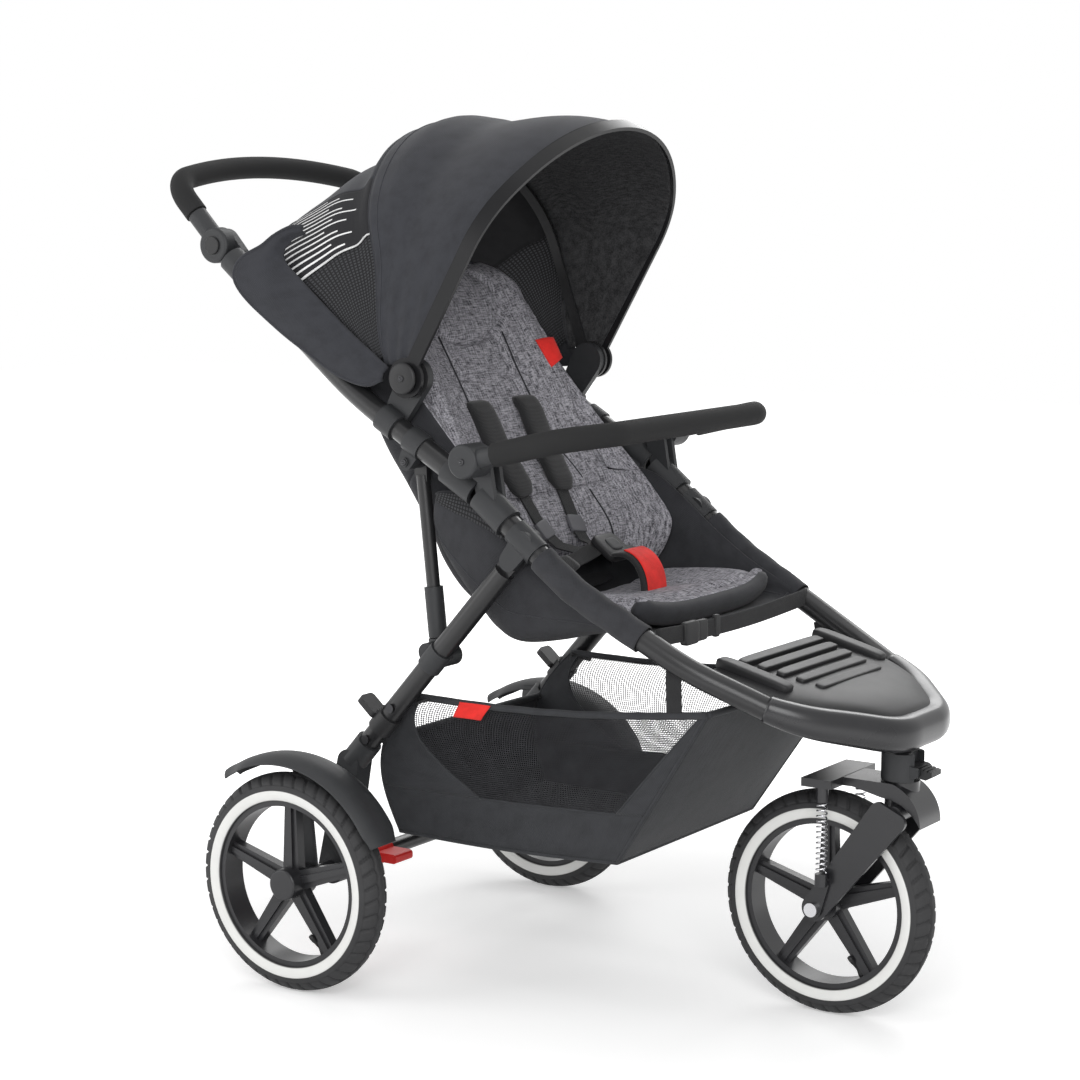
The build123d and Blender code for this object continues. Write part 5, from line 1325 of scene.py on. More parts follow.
    def bridge(self) -> None:
        """A strip of liner cloth over the joint of the two back pads, at the height of their faces."""
        y = np.linspace(-0.158, 0.158, 49)
        t = np.linspace(0.0, 1.0, 11)
        rows = []
        for share in t:
            s = np.full(49, -0.032 + 0.058 * share)
            h = np.convolve(np.pad(self.face(s, y), 3, mode="edge"), np.ones(7) / 7, "valid")
            h = h + 0.003 * (1 - (2 * share - 1) ** 4) - 0.0014
            rows.append(self.on_back(s, y, h))
        grid = np.stack(rows)
        strip = thicken(lay("liner_bridge", grid), 0.002)
        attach(dress(strip, LINER, "backrest_pad"), "backrest")

    def seams(self) -> None:
        """Two sewn lines down the liner, each a thin dark cord on its face."""
        line = through([(0.209, 0.075), (0.155, 0.073), (0.105, 0.074), (0.06, 0.078), (0.0, 0.094),
                        (-0.08, 0.112), (-0.115, 0.113)], 60)
        for label, part, body, rise in (("back", line[line[:, 0] > -0.029], "backrest", 0.0006),
                                        ("lower", line[line[:, 0] < -0.034], "lower_frame", -0.0002)):
            s, y = part.T
            over = 0.0022 * (np.abs(s + 0.003) < 0.024)
            h = np.convolve(np.pad(self.face(s, y) + over, 2, mode="edge"), np.ones(5) / 5, "valid") + rise
            path = self.on_back(s, y, h)
            pair = [cord_along(f"seam_{label}_{k}", row, 0.0011, self.up)
                    for k, row in enumerate((path, mirrored(path)))]
            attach(dress(joined(f"liner_seam_{label}", pair), SEAT_CLOTH, "backrest_pad"), body)

    def sling(self) -> None:
        """The cloth bucket, a soft trough hung between the lower tubes.

        Formula: across each station the point runs from the side edge to the floor as
        edge + (floor - edge) * sin(a)^e, y = -half * sign(cos a) |cos a|^e, with a small e for a boxy trough.
        """
        floor = through([(-0.086, 0.655), (-0.099, 0.612), (-0.093, 0.573), (-0.066, 0.530), (-0.034, 0.492),
                         (-0.015, 0.4725), (0.012, 0.4615), (0.062, 0.469), (0.117, 0.483), (0.170, 0.4925),
                         (0.229, 0.4965)], 60)
        edge = through([(-0.084, 0.660), (-0.076, 0.662), (-0.052, 0.664), (-0.016, 0.664), (0.024, 0.652),
                        (0.064, 0.624), (0.114, 0.584), (0.168, 0.547), (0.232, 0.5135)], 60)
        a = np.linspace(0.0, pi, 72)
        e = 0.34
        rise = np.sin(a)[None, :] ** e
        y = -self.sling_half * np.sign(np.cos(a)) * np.abs(np.cos(a)) ** e
        t = np.linspace(0.0, 1.0, 60)[:, None]
        belly = 0.0025 * np.sin(pi * t) * np.sin(2 * pi * rise)
        xz = edge[:, None] + (floor - edge)[:, None] * rise[..., None]
        wide = y[None, :] * (1 - 0.02 * rise) + np.sign(y) * belly
        grid = np.stack([xz[..., 0], wide, xz[..., 1]], axis=-1)
        sling = thicken(lay("seat_sling", grid), 0.002)
        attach(dress(sling, SEAT_CLOTH, "seat_bucket"), "lower_frame")
        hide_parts("seat_bucket")
        drop = np.linspace(0.03, 0.24, 8)[None, :, None]
        air = edge[3:32, None] * (1 - drop) + floor[3:32, None] * drop
        air = np.stack([air[..., 0], np.full(air.shape[:2], -self.air_half), air[..., 1]], axis=-1)
        for label, cells in (("right", air), ("left", mirrored(air))):
            mesh = thicken(lay(f"air_strip_{label}", cells), 0.0008)
            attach(dress(mesh, AIR_NET, "seat_bucket"), "lower_frame")
        for label, column in (("right", 8), ("left", -9)):
            pipe = cord_along(f"sling_piping_{label}", grid[2:-1, column], 0.0019, (0.0, 1.0, 0.2))
            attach(dress(pipe, SEAT_CLOTH, "seat_bucket"), "lower_frame")
        for label, row in (("front", grid[-1]), ("rear", grid[0])):
            hem = cord_along(f"sling_hem_{label}", row[3:-3], 0.003, (1.0, 0.0, 0.3))
            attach(dress(hem, SEAT_CLOTH, "seat_bucket"), "lower_frame")

    def back_cloth(self) -> None:
        """The cloth bag behind the backrest, in two parts seamed at the hinge.

        It hangs from the upper tubes down to the sling.
        Formula: across each station the point runs from the side edge to the floor as
        edge + (floor - edge) * h with h = sin(a)^e, y = -half * sign(cos a) |cos a|^e; close to its edge the
        upper part spreads out to the tubes.
        """
        edge = through([(-0.226, 0.808), (-0.165, 0.752), (-0.110, 0.718), (-0.060, 0.688), (-0.050, 0.640),
                        (-0.050, 0.580), (-0.045, 0.540)], 60)
        floor = through([(-0.230, 0.800), (-0.196, 0.712), (-0.160, 0.652), (-0.128, 0.596), (-0.104, 0.556),
                         (-0.072, 0.527), (-0.030, 0.503)], 60)
        a = np.linspace(0.0, pi, 72)
        e = 0.3
        h = np.sin(a)[None, :] ** e
        t = np.linspace(0.0, 1.0, 60)[:, None]
        flare = 0.030 * (1 - smoothstep(0.0, 0.14, h)) * (1 - smoothstep(0.36, 0.5, t))
        y = -np.sign(np.cos(a)) * (self.bag_half * np.abs(np.cos(a)) ** e + flare)
        xz = edge[:, None] + (floor - edge)[:, None] * h[..., None]
        grid = np.stack([xz[..., 0], y, xz[..., 1]], axis=-1)
        seam = 20
        bags = []
        for label, rows in (("upper", grid[: seam + 1]), ("lower", grid[seam:])):
            bag = thicken(lay(f"back_bag_{label}", rows), 0.0018)
            dress(bag, SEAT_CLOTH, "seat_bucket")
            bags.append(bag)
        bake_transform(bags[0], "upper_frame", "backrest", start=tuple(self.on_back(0.066, 0.0, 0.0)),
                 end=tuple(self.on_back(0.125, 0.0, 0.0)))
        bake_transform(bags[1])

    def walls(self) -> None:
        """Liner wings beside the back pads, and the dark cloth between the upper wings and the tubes."""
        tube = through([(-0.012, 0.672), (-0.07, 0.704), (-0.14, 0.746), (-0.20, 0.788), (-0.25, 0.830)], 40)
        edge = through([(-0.002, 0.660), (-0.034, 0.692), (-0.068, 0.727), (-0.136, 0.802),
                        (-0.172, 0.848)], 40)
        back = np.stack([self.on_back(s, 0.0, 0.024) for s in np.linspace(0.0, 0.222, 40)])[:, [0, 2]]
        hip = through([(-0.002, 0.660), (0.026, 0.628), (0.047, 0.600), (0.048, 0.580), (0.038, 0.556),
                       (0.022, 0.533)], 40)
        low = np.stack([self.on_back(s, 0.0, 0.020) for s in np.linspace(0.0, -0.128, 40)])[:, [0, 2]]
        for side, sign in SIDES:
            outer = self.between(tube, edge, sign * 0.1985, sign * self.wing_half, 0.004)
            wall = thicken(lay(f"back_wall_{side}", outer), 0.0018)
            dress(wall, SEAT_CLOTH, "backrest_board")
            inner = self.between(edge, back, sign * self.wing_half, sign * 0.150, 0.006)
            wing = thicken(lay(f"liner_wing_{side}", inner), 0.004)
            dress(wing, LINER, "backrest_pad")
            for cloth in (wall, wing):
                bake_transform(cloth)
            lower = self.between(hip, low, sign * self.wing_half, sign * 0.140, 0.006)
            flank = thicken(lay(f"liner_hip_{side}", lower), 0.004)
            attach(dress(flank, LINER, "lower_back_pad"), "lower_frame")

    @staticmethod
    def between(first: Array, last: Array, y0: float, y1: float, sag: float) -> Array:
        """Cloth between two side-view curves at two widths, sagging by a half sine towards the back."""
        v = np.linspace(0.0, 1.0, 14)[None, :]
        dip = sag * np.sin(pi * v)
        x = first[:, :1] * (1 - v) + last[:, :1] * v - 0.6 * dip
        z = first[:, 1:] * (1 - v) + last[:, 1:] * v - 0.8 * dip
        return np.stack([x, y0 + (y1 - y0) * v + 0 * x, z], axis=-1)

    def sleeves(self) -> None:
        """Cloth sleeves round the lower tubes, with soft cross folds."""
        axis = filleted([*TUBE_CORNERS, TUBE_NOSE], TUBE_BENDS, 400)
        path = axis[(axis[:, 0] > 0.094) & (axis[:, 0] < 0.238)]
        t = np.linspace(0.0, 1.0, len(path))
        fold = 1 + 0.012 * np.sin(21 * t + 3 * np.sin(7 * t)) * np.sin(pi * t)
        section = rounded_profile(0.0352, 0.0352, 40, 2.0)
        grid = carried(path, section, (0.0, 1.0, 0.0), fold)
        turn = np.linspace(0.0, 2 * pi, 40, endpoint=False)[None, :]
        wrinkle = 0.0004 * np.sin(24 * t[:, None] + 2.2 * np.sin(turn) + 1.7 * np.cos(2 * turn))
        grid = grid + wrinkle[..., None] * unit(grid - path[:, None])
        both = [lay("sleeve_a", grid, wrap_v=True), lay("sleeve_b", mirrored(grid), wrap_v=True)]
        pair = thicken(joined("tube_sleeve_cloth", both), 0.0016)
        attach(dress(pair, SEAT_CLOTH, "tube_sleeves"), "lower_frame")
        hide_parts("tube_sleeves")

    def lip(self) -> None:
        """The dark roll along the cushion's front edge, its ends turned up."""
        y = np.linspace(-0.164, 0.164, 60)
        bend = np.abs(y / 0.164)
        path = np.stack([0.2155 - 0.014 * bend**3, y, 0.5135 + 0.016 * bend**4], axis=1)
        taper = 1 - 0.5 * smoothstep(0.9, 1.0, bend)
        roll = sweep("cushion_lip", path, rounded_profile(0.024, 0.030, 26, 2.8), (0.35, 0.0, 0.94), taper)
        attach(dress(roll, SEAT_CLOTH, "seat_cushion"), "lower_frame")
        edge = path[2:-2] + np.array([-0.004, 0.0, 0.0132])
        section = rounded_profile(0.016, 0.007, 14, 2.0)
        band = sweep("cushion_lip_edge", edge, section, (0.0, 0.0, 1.0), taper[2:-2])
        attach(dress(band, LINER, "seat_cushion"), "lower_frame")


@dataclass
class Harness:
    """Shoulder pads, webbing, buckle, crotch pad, waist straps and calf strap."""

    seat: Seat

    def build(self) -> None:
        """Make every piece of the harness."""
        self.shoulders()
        self.buckle()
        self.crotch()
        self.waist()
        self.calf()

    def shoulders(self) -> None:
        """Padded sleeves on the back, with webbing and adjusters below them."""
        pieces = []
        for sign in (-1.0, 1.0):
            s, y = np.array([(0.114, 0.056), (0.107, 0.056), (0.09, 0.056), (0.05, 0.054), (0.0, 0.051),
                             (-0.034, 0.047)]).T
            high = self.seat.face(s, y) + np.array([-0.008, 0.003, 0.0065, 0.0065, 0.0085, 0.006])
            path = even(self.seat.on_back(s, sign * y, high), 40)
            t = np.linspace(0.0, 1.0, 40)
            end = np.minimum(t, 1 - t)
            scale = np.stack([np.minimum(1.0, 0.62 + 4 * end), np.minimum(1.0, 0.35 + 6 * end)], axis=1)
            turn = 0.8 * smoothstep(0.12, 0.0, t)
            up = self.seat.up + turn[:, None] * self.seat.run
            pieces.append(sweep(f"pad_{sign}", path, rounded_profile(0.051, 0.0135, 40, 3.4), up, scale))
        pads = joined("shoulder_pad_pair", pieces)
        subdivide(dress(pads, PAD_CLOTH, "shoulder_pads"))
        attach(pads, "backrest")
        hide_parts("shoulder_pads")
        for side, sign in SIDES:
            s, y = np.array([(-0.028, 0.047), (-0.060, 0.043), (-0.088, 0.038)]).T
            upper = self.seat.on_back(s, y, self.seat.face(s, y) + np.array([0.003, 0.0025, 0.004]))
            lower = np.array([(0.002, 0.031, 0.578), (0.024, 0.026, 0.5735), (0.046, 0.022, 0.5775)])
            low = even(np.vstack([upper, lower]) * np.array([1.0, sign, 1.0]), 24)
            tape = strap(f"shoulder_tape_{side}", low, 0.024, (0.7, 0.0, 0.7))
            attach(dress(tape, WEBBING, "waist_straps"), "lower_frame")
            way, out = unit(low[12] - low[8]), np.array([0.7, 0.0, 0.7])
            slide = block(f"adjuster_{side}", low[10] + 0.002 * out, (0.026, 0.030, 0.006), way, out, 9.0)
            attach(dress(slide, ADJUSTER_PLASTIC, "harness_buckle"), "lower_frame")

    def buckle(self) -> None:
        """The rounded buckle with its push button."""
        z, x = np.array([0.6, 0.0, 0.8]), LEFTWARD
        centre = np.array([0.060, 0.0, 0.572]) + 0.0065 * z
        body = block("buckle_body", centre, (0.054, 0.046, 0.0125), x, z, 5.0)
        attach(dress(body, BLACK_PLASTIC, "harness_buckle"), "lower_frame")
        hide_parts("harness_buckle")
        button = block("buckle_button", centre + 0.006 * z, (0.026, 0.022, 0.005), x, z, 3.5)
        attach(dress(button, GREY_PLASTIC, "harness_buckle"), "lower_frame")

    def crotch(self) -> None:
        """A dark padded strap with a plain red arched face."""
        path = through([(0.134, 0.0, 0.514), (0.135, 0.0, 0.532), (0.130, 0.0, 0.552), (0.118, 0.0, 0.569),
                        (0.100, 0.0, 0.578), (0.080, 0.0, 0.577)], 36)
        out = np.stack([np.linspace(1.0, 0.1, 36), np.zeros(36), np.linspace(0.1, 1.0, 36)], axis=1)
        t = np.linspace(0.0, 1.0, 36)
        scale = np.stack([1 - 0.12 * t, 1 - 0.3 * np.abs(2 * t - 1) ** 3], axis=1)
        section = rounded_profile(0.060, 0.009, 30, 3.4)
        pad = sweep("crotch_pad", path - 0.0062 * unit(out), section, out, scale)
        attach(dress(pad, PAD_CLOTH, "crotch_strap"), "lower_frame")
        face = strap("crotch_face", path[2:-6], 0.046, out[2:-6], 0.0022)
        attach(dress(face, RED_CLOTH, "crotch_strap"), "lower_frame")
        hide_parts("crotch_strap")

    def waist(self) -> None:
        """Webbing from the buckle to the seat's sides, with a padded sleeve each."""
        for side, sign in SIDES:
            path = through([(0.054, 0.022 * sign, 0.578), (0.046, 0.06 * sign, 0.566),
                            (0.034, 0.105 * sign, 0.556), (0.022, 0.140 * sign, 0.552),
                            (0.014, 0.158 * sign, 0.550)], 30)
            tape = strap(f"waist_tape_{side}", path, 0.025, (0.45, 0.0, 0.9))
            t = np.linspace(0.0, 1.0, 18)
            scale = 0.75 + 0.25 * np.minimum(1.0, 5 * np.minimum(t, 1 - t))
            pad = sweep(f"waist_pad_{side}", even(path[8:24], 18), rounded_profile(0.036, 0.008, 24, 3.0),
                        (0.45, 0.0, 0.9), scale)
            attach(dress(pad, PAD_CLOTH, "waist_straps"), "lower_frame")
            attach(dress(tape, WEBBING, "waist_straps"), "lower_frame")
        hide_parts("waist_straps")

    def calf(self) -> None:
        """Webbing across the frame under the seat's front, with a side-release buckle."""
        y = np.linspace(-0.197, 0.197, 50)
        path = np.stack([0.2535 + 0.002 * np.cos(y * 9), y, 0.502 - 0.006 * np.cos(y * pi / 0.394)], axis=1)
        tape = strap("calf_tape", path, 0.022, (1.0, 0.0, 0.05), 0.0022)
        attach(dress(tape, WEBBING, "calf_strap"), "lower_frame")
        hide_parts("calf_strap")
        for label, offset, size in (("body", -0.119, (0.036, 0.030, 0.0105)),
                                    ("tongue", -0.091, (0.024, 0.027, 0.0085)),
                                    ("slider", -0.053, (0.012, 0.029, 0.007))):
            centre = (0.2545, offset, 0.4975)
            part = block(f"calf_buckle_{label}", centre, size, LEFTWARD, (1.0, 0.0, 0.0), 6.0)
            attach(dress(part, BLACK_PLASTIC, "calf_strap"), "lower_frame")


@dataclass
class Basket:
    """The under-seat basket: a sagging tub with net sides, piping, a rolled rim and hanging straps."""

    rim: tuple[tuple[float, float], tuple[float, float]] = ((-0.122, 0.388), (0.322, 0.412))
    base: tuple[tuple[float, float], tuple[float, float]] = ((-0.158, 0.197), (0.184, 0.203))
    rim_half: float = 0.1915
    base_half: float = 0.176
    depth: float = 0.68
    rear_top: float = 0.36
    bulge: float = 0.043

    def side(self, u: Array, v: Array) -> Array:
        """The right-hand side wall: u runs from rear to front and v from rim to base.

        Formula: a ruled surface between rim and base, drawn in by a shallow bow, its base edge sagging
        between the corners and its rear end bulging backwards at half height.
        """
        (rx0, rz0), (rx1, rz1) = self.rim
        (bx0, bz0), (bx1, bz1) = self.base
        x = (rx0 + (rx1 - rx0) * u) * (1 - v) + (bx0 + (bx1 - bx0) * u) * v
        z = (rz0 + (rz1 - rz0) * u) * (1 - v) + (bz0 + (bz1 - bz0) * u) * v
        x = x - self.bulge * np.sin(pi * np.clip(v, 0, 1) ** 0.9) * (1 - np.clip(u, 0, 1)) ** 3
        bow = np.sin(pi * np.clip(u, 0, 1)) * np.sin(pi * np.clip(v, 0, 1))
        folds = 0.0012 * np.sin(46 * u + 6 * v) * (1 - v) * np.sin(pi * u)
        y = self.rim_half + (self.base_half - self.rim_half) * v - 0.005 * bow + folds
        z = z - 0.010 * np.sin(pi * u) * (1 - v) ** 2 - 0.004 * np.sin(pi * u) * v
        return np.stack([x, -y, z], axis=-1)

    def patch(self, first: Callable[[Array], Array], last: Callable[[Array], Array], top: float,
              bottom: float, nu: int, nv: int) -> Array:
        """Part of the side wall between two curves of u given v."""
        v = np.linspace(top, bottom, nv)[None, :]
        u = first(v) + (last(v) - first(v)) * np.linspace(0.0, 1.0, nu)[:, None]
        return self.side(u, v + 0 * u)

    def window_rear(self, v: Array) -> Array:
        """Rear edge of the net window."""
        return 0.035 + 0.31 * (v / self.depth) ** 1.9

    def window_front(self, v: Array) -> Array:
        """Front edge of the net window, along the front panel's seam."""
        return 0.985 - 0.10 * (v / self.depth)

    @staticmethod
    def rear_end(v: Array) -> Array:
        """The wall's rear edge."""
        return np.zeros_like(v)

    @staticmethod
    def front_end(v: Array) -> Array:
        """The wall's front edge."""
        return np.ones_like(v)

    def build(self) -> None:
        """Make the cloth, the net, the trims, the straps and the tag."""
        rear, front = self.window_rear, self.window_front
        sides = [self.patch(self.rear_end, rear, 0.0, self.depth, 14, 30),
                 self.patch(front, self.front_end, 0.0, self.depth, 6, 30),
                 self.patch(self.rear_end, self.front_end, self.depth, 1.0, 60, 12)]
        w = np.linspace(-1.0, 1.0, 50)[None, :]
        ends = []
        for u, push, start in ((0.0, -0.006, self.rear_top), (1.0, 0.012, 0.0)):
            v = np.linspace(start, 1.0, 30)
            x, y, z = self.side(np.full(30, u), v).T[..., None]
            bulge = push * (1 - w**4) * np.sin(pi * (0.15 + 0.85 * v))[:, None]
            ends.append(np.stack([x + bulge, y * -w, z + 0 * w], axis=-1))
        x, y, z = self.side(np.linspace(0.0, 1.0, 50), np.ones(50)).T[..., None]
        sag = 0.006 * (1 - w**2) * np.sin(pi * np.linspace(0, 1, 50))[:, None]
        floor = np.stack([x + 0 * w, y * -w, z - sag], axis=-1)
        grids = sides + [mirrored(g) for g in sides] + ends + [floor]
        cloths = [lay(f"basket_{i}", g) for i, g in enumerate(grids)]
        shell = thicken(joined("basket_cloth_shell", cloths), 0.0018)
        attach(dress(shell, BASKET_CLOTH, "basket"), "lower_frame")
        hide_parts("basket")
        net = self.patch(rear, front, 0.0, self.depth, 70, 34)
        nets = thicken(joined("basket_net_sides", [lay("net_a", net), lay("net_b", mirrored(net))]), 0.0009)
        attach(dress(nets, BASKET_NET, "basket"), "lower_frame")
        self.trims(net, ends)

    def trims(self, net: Array, ends: Sequence[Array]) -> None:
        """Piping on the window and panel edges, the rim roll, the hanging straps and the plain red tag."""
        roll, edging, piping = 0.0046, 0.0024, 0.0015
        along = np.linspace(0.0, 1.0, 60)
        rear_edge = self.side(np.zeros(40), np.linspace(0.0, 1.0, 40))
        cords = []
        for label, row, radius in (("window_rear", net[0], piping), ("window_foot", net[:, -1], piping),
                                   ("window_front", net[-1], piping), ("front_edge", ends[1][:, -1], edging),
                                   ("rear_edge", rear_edge, piping),
                                   ("foot", self.side(along, np.ones(60)), edging),
                                   ("rim", self.side(along, np.zeros(60)), roll)):
            path = mirrored(row) if row[len(row) // 2, 1] > 0 else row
            cords += [cord_along(label + "_a", path, radius, (0.1, 1.0, 0.1)),
                      cord_along(label + "_b", mirrored(path), radius, (0.1, 1.0, 0.1))]
        for wall, label in zip(ends, ("rear", "front")):
            cords += [cord_along(f"rim_{label}", wall[0], roll, (1.0, 0.0, 0.1)),
                      cord_along(f"foot_{label}", wall[-1], edging, (1.0, 0.0, 0.1))]
        trim = joined("basket_piping", cords)
        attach(dress(trim, BASKET_CLOTH, "basket"), "lower_frame")
        hang = []
        for sign in (-1.0, 1.0):
            path = through([(0.276, 0.1925 * sign, 0.405), (0.2765, 0.1945 * sign, 0.43),
                            (0.277, 0.1965 * sign, 0.455), (0.277, 0.1935 * sign, 0.468)], 20)
            hang.append(strap(f"hang_{sign}", path, 0.022, (0.0, 1.0, 0.0), 0.0022))
            tab = through([(-0.105, 0.190 * sign, 0.386), (-0.108, 0.195 * sign, 0.3825),
                           (-0.112, 0.199 * sign, 0.379)], 10)
            hang.append(strap(f"tab_{sign}", tab, 0.030, (0.1, 0.3, 1.0), 0.003))
        straps = joined("basket_straps", hang)
        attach(dress(straps, WEBBING, "basket"), "lower_frame")
        u = np.linspace(0.175, 0.282, 12)[:, None]
        v = np.linspace(-0.012, 0.105, 10)[None, :]
        narrowed = u * (1 - 0.12 * v / 0.105) + 0.0275 * v / 0.105
        cells = self.side(narrowed, v + 0 * u) - np.array([0.0, 0.0056, 0.0])
        tag = thicken(lay("basket_tag", cells), 0.0014)
        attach(dress(tag, RED_CLOTH, "basket"), "lower_frame")


@dataclass
class Nose:
    """The domed nose round the tube's bend, and the footplate with its cross bars."""

    def build(self) -> None:
        """Make the fairing, the deck, the bars and the cheeks beside them."""
        half_axis, half_bends = TUBE_CORNERS[1:], TUBE_BENDS[1:]
        axis = filleted([*half_axis, *((x, -y, z) for x, y, z in half_axis[::-1])],
                        (*half_bends, *half_bends[::-1]), 700)
        path = even(axis[axis[:, 0] > 0.392], 120)
        t = np.linspace(-1.0, 1.0, 120)
        ease = 1 - np.abs(t) ** 3
        inward = unit(np.array([0.36, 0.0, 0.44]) - path)
        centre = path + 0.004 * ease[:, None] * np.array([0.0, 0.0, 1.0]) + 0.003 * ease[:, None] * inward
        scale = np.stack([0.86 + 0.14 * ease, 0.86 + 0.30 * ease], axis=1)
        section = rounded_profile(0.0385, 0.0385, 40, 2.3)
        fairing = sweep("nose_fairing", centre, section, (0.0, 0.0, 1.0), scale)
        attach(dress(fairing, GLOSS_PLASTIC, "nose_cover"), "lower_frame")
        profile = through([(0.306, 0.463), (0.36, 0.4505), (0.42, 0.4345), (0.47, 0.4205), (0.502, 0.4075),
                           (0.516, 0.398)], 60)
        outline = axis[np.argsort(axis[:, 0])]
        right = outline[outline[:, 1] < 0]
        half = np.interp(profile[:, 0], right[:, 0], -right[:, 1])
        half = half - 0.011 * smoothstep(0.40, 0.32, profile[:, 0]) - 0.004
        w = np.linspace(-1.0, 1.0, 61)[None, :]
        wide = half[:, None] * w
        crown = 0.007 * (1 - w**2) * smoothstep(0.30, 0.45, profile[:, :1]) - 0.012 * np.abs(w) ** 10
        deck_grid = np.stack([profile[:, :1] + 0 * w, wide, profile[:, 1:] + crown], axis=-1)
        deck = thicken(lay("footplate_deck", deck_grid), 0.004, -1.0)
        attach(dress(deck, BLACK_PLASTIC, "nose_cover"), "lower_frame")
        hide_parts("nose_cover")
        along, up = (1.0, 0.0, -0.26), (0.26, 0.0, 1.0)
        bars = []
        for i in range(5):
            x = 0.321 + 0.024 * i
            z = float(np.interp(x, profile[:, 0], profile[:, 1])) + 0.0035
            bars.append(block(f"bar_{i}", (x, 0.0, z), (0.0155, 0.212 - 0.012 * i, 0.010), along, up, 7.0))
        plate = joined("footplate_bars", bars)
        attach(dress(plate, BLACK_PLASTIC, "nose_cover"), "lower_frame")
        cheeks = [block(f"cheek_{side}", (0.352, 0.128 * sign, 0.4545), (0.105, 0.026, 0.016), along, up, 5.0)
                  for side, sign in SIDES]
        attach(dress(joined("footplate_cheeks", cheeks), BLACK_PLASTIC, "nose_cover"), "lower_frame")


@dataclass
class Mudguard:
    """One crowned mudguard with a pointed tail and its stay."""

    side: str
    sign: float
    axle: tuple[float, float] = (-0.235, 0.146)
    track: float = 0.306
    radius: float = 0.1705
    crown: float = 0.0105
    half: float = 0.0315
    span: tuple[float, float] = (25.0, 129.0)
    stay_angle: float = 96.0

    def build(self) -> None:
        """Make the guard and its stay.

        Formula: a band about the axle, r = R - crown * |w|^2.6, with its half width drawn in towards the tail
        and rounded at the front.
        """
        a = np.radians(np.linspace(*self.span, 70))[:, None]
        w = np.linspace(-1.0, 1.0, 40)[None, :]
        t = np.linspace(0.0, 1.0, 70)[:, None]
        half = self.half * (1 - 0.55 * smoothstep(0.82, 1.0, t)) * (0.80 + 0.20 * smoothstep(0.0, 0.08, t))
        r = self.radius - self.crown * np.abs(w) ** 2.6 + 0.003 * smoothstep(0.9, 1.0, t)
        grid = np.stack([self.axle[0] + r * np.cos(a), self.sign * self.track + half * w,
                         self.axle[1] + r * np.sin(a)], axis=-1)
        guard = thicken(lay(f"guard_{self.side}", grid), 0.0028, -1.0)
        soften(guard, 0.0009)
        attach(dress(guard, GREY_PLASTIC, f"mudguard_{self.side}"), "rear_legs")
        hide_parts(f"mudguard_{self.side}")
        top = np.array([cos(radians(self.stay_angle)), sin(radians(self.stay_angle))])
        foot = np.array([self.axle[0], self.sign * 0.271, self.axle[1]])
        path = np.stack([foot + np.array([top[0] * d, self.sign * y, top[1] * d]) for d, y in
                         ((0.012, 0.0), (0.06, 0.0), (0.12, 0.0), (0.152, 0.002), (0.166, 0.008))])
        stay = sweep(f"guard_stay_{self.side}", even(path, 24), rounded_profile(0.026, 0.004, 20, 6.0),
                     (0.0, self.sign, 0.0))
        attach(dress(stay, GREY_PLASTIC, f"mudguard_{self.side}"), "rear_legs")


NODE_FINISHES: tuple[tuple[Finish, tuple[str, ...]], ...] = (
    (POWDER_COAT, ("lower_frame_tube", "upper_tube_left", "upper_tube_right", "leg_tube_left",
                   "leg_tube_right", "strut_tubes", "rear_axle", "handle_bar", "bumper_bar")),
    (GREY_PLASTIC, ("fold_castings_lower", "fold_castings_upper", "leg_sockets", "strut_brackets",
                    "strut_seats", "strut_sleeves", "axle_housings", "swivel_housing", "handle_sockets",
                    "handle_knuckles", "bumper_hubs", "canopy_clips")),
    (BLACK_PLASTIC, ("leg_paddles", "backrest_board", "canopy_mid_rib", "swivel_lock_lever",
                     "handle_button_right", "handle_button_left")),
    (GLOSS_PLASTIC, ("fork_crown", "swing_arms")),
    (BOW_PLASTIC, ("canopy_front_bow",)),
    (RIM_PLASTIC, ("front_rim", "rear_rim_left", "rear_rim_right")),
    (GRIP_FOAM, ("handle_grip", "bumper_grip")),
    (STEEL, ("front_axle",)),
    (DARK_STEEL, ("leg_bolts",)),
    (RED_PLASTIC, ("brake_pedal",)),
)
NODE_BEVELS: tuple[tuple[float, tuple[str, ...]], ...] = (
    (0.0030, ("axle_housings",)),
    (0.0025, ("brake_pedal",)),
    (0.0022, ("fold_castings_lower", "fold_castings_upper")),
    (0.0020, ("leg_sockets", "leg_paddles", "fork_crown")),
    (0.0018, ("strut_brackets", "strut_seats")),
    (0.0016, ("swivel_housing", "handle_sockets", "canopy_front_bow")),
    (0.0015, ("swing_arms",)),
    (0.0014, ("bumper_hubs", "canopy_clips", "front_rim", "rear_rim_left", "rear_rim_right")),
    (0.0010, ("strut_sleeves", "swivel_lock_lever")),
)


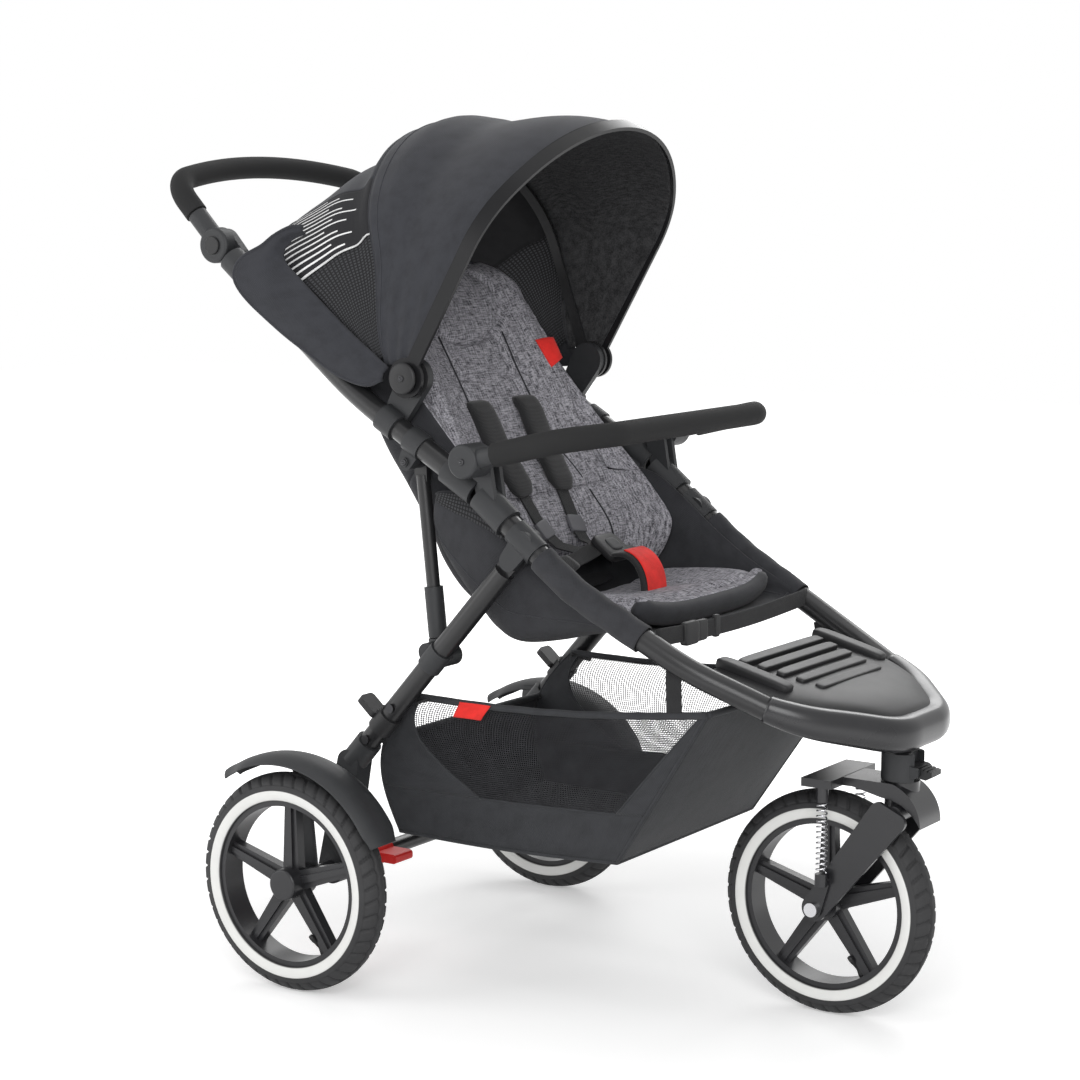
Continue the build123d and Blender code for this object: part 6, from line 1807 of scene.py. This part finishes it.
@dataclass
class Details:
    """Finishes of the CAD nodes and small fittings."""

    frame: dict
    coil_radius: float = 0.0062
    coil_wire: float = 0.0012
    coil_turns: int = 13
    coil_span: tuple[float, float] = (0.1975, 0.2865)
    cap_radius: float = 0.0205
    cup_radius: float = 0.0132

    def build(self) -> None:
        """Paint the nodes, round their edges and add springs, caps, cups and screws."""
        for finish, nodes in NODE_FINISHES:
            repaint(self.frame, finish, *nodes)
        for width, nodes in NODE_BEVELS:
            for node in nodes:
                soften(self.frame["nodes"][node], width)
        self.springs()
        for side, sign in SIDES:
            self.cap(f"canopy_hub_cap_{side}", (-0.105, 0.2335 * sign, 0.809), sign)
            self.screw(f"canopy_hub_screw_{side}", (-0.105, 0.2388 * sign, 0.809), sign, "front_bow")
            self.screw(f"bumper_screw_{side}", (0.008, 0.2656 * sign, 0.711), sign, "bumper")
            self.cup(side, sign)
            self.screw(f"strut_screw_{side}", (-0.113, 0.2230 * sign, 0.700), sign, "upper_frame")

    def springs(self) -> None:
        """The coil springs of the fork, drawn anew in place of the CAD springs."""
        turn = np.linspace(0.0, 2 * pi * self.coil_turns, 24 * self.coil_turns + 1)
        coils = []
        for sign in (-1.0, 1.0):
            path = np.stack([0.410 + self.coil_radius * np.cos(turn),
                             0.054 * sign + self.coil_radius * np.sin(turn),
                             np.linspace(*self.coil_span, turn.size)], axis=1)
            coils.append(cord_along(f"coil_{sign}", path, self.coil_wire, (0.0, 0.0, 1.0)))
        pair = dress(joined("front_spring_coils", coils), STEEL, "front_springs")
        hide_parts("front_springs")
        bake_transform(pair)

    def cup(self, side: str, sign: float) -> None:
        """A round cup under the foot of a strut, on the leg's bracket."""
        way = unit(np.array([0.025, 0.0, -0.231]))
        foot = np.array([-0.088, 0.1835 * sign, 0.469])
        r = self.cup_radius
        profile = [(0.0, 0.0), (0.0, r - 0.001), (0.001, r), (0.012, r), (0.016, r - 0.002), (0.016, 0.0)]
        piece = turned(f"strut_cup_{side}", profile, foot + 0.0013 * way, way)
        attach(dress(piece, GREY_PLASTIC, "strut_seats"), "rear_legs")

    def cap(self, name: str, centre: Point, sign: float) -> None:
        """A low rounded disc on a hub of the front bow."""
        r = self.cap_radius
        profile = [(0.0, r * 0.97), (0.002, r), (0.0038, r * 0.97), (0.005, r * 0.86), (0.0053, r * 0.4),
                   (0.0053, 0.0)]
        piece = turned(name, profile, centre, (0.0, sign, 0.0))
        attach(dress(piece, BLACK_PLASTIC, "canopy_front_bow"), "front_bow")

    def screw(self, name: str, centre: Point, sign: float, body: str) -> None:
        """A small dark screw head with a recess."""
        profile = [(0.0, 0.0042), (0.0011, 0.0042), (0.0016, 0.0034), (0.0016, 0.0019), (0.0004, 0.0017),
                   (0.0004, 0.0)]
        piece = turned(name, profile, centre, (0.0, sign, 0.0), 20)
        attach(dress(piece, DARK_STEEL, "leg_bolts"), body)


def main() -> None:
    """Load the frame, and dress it."""
    logging.basicConfig(level=logging.INFO, format="%(name)s: %(message)s")
    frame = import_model()
    Studio().build()
    for wheel in (Wheel("rear_{}_right", "rear_wheel_right", (-0.235, -0.306, 0.146)),
                  Wheel("rear_{}_left", "rear_wheel_left", (-0.235, 0.306, 0.146), 1.0),
                  Wheel("front_{}", "front_wheel", (0.395, 0.0, 0.146))):
        wheel.build()
    Canopy().build()
    seat = Seat()
    seat.build()
    Harness(seat).build()
    Basket().build()
    Nose().build()
    for side, sign in SIDES:
        Mudguard(side, sign).build()
    Details(frame).build()
    log.info("sizes written")


if __name__ == "__main__":
    main()
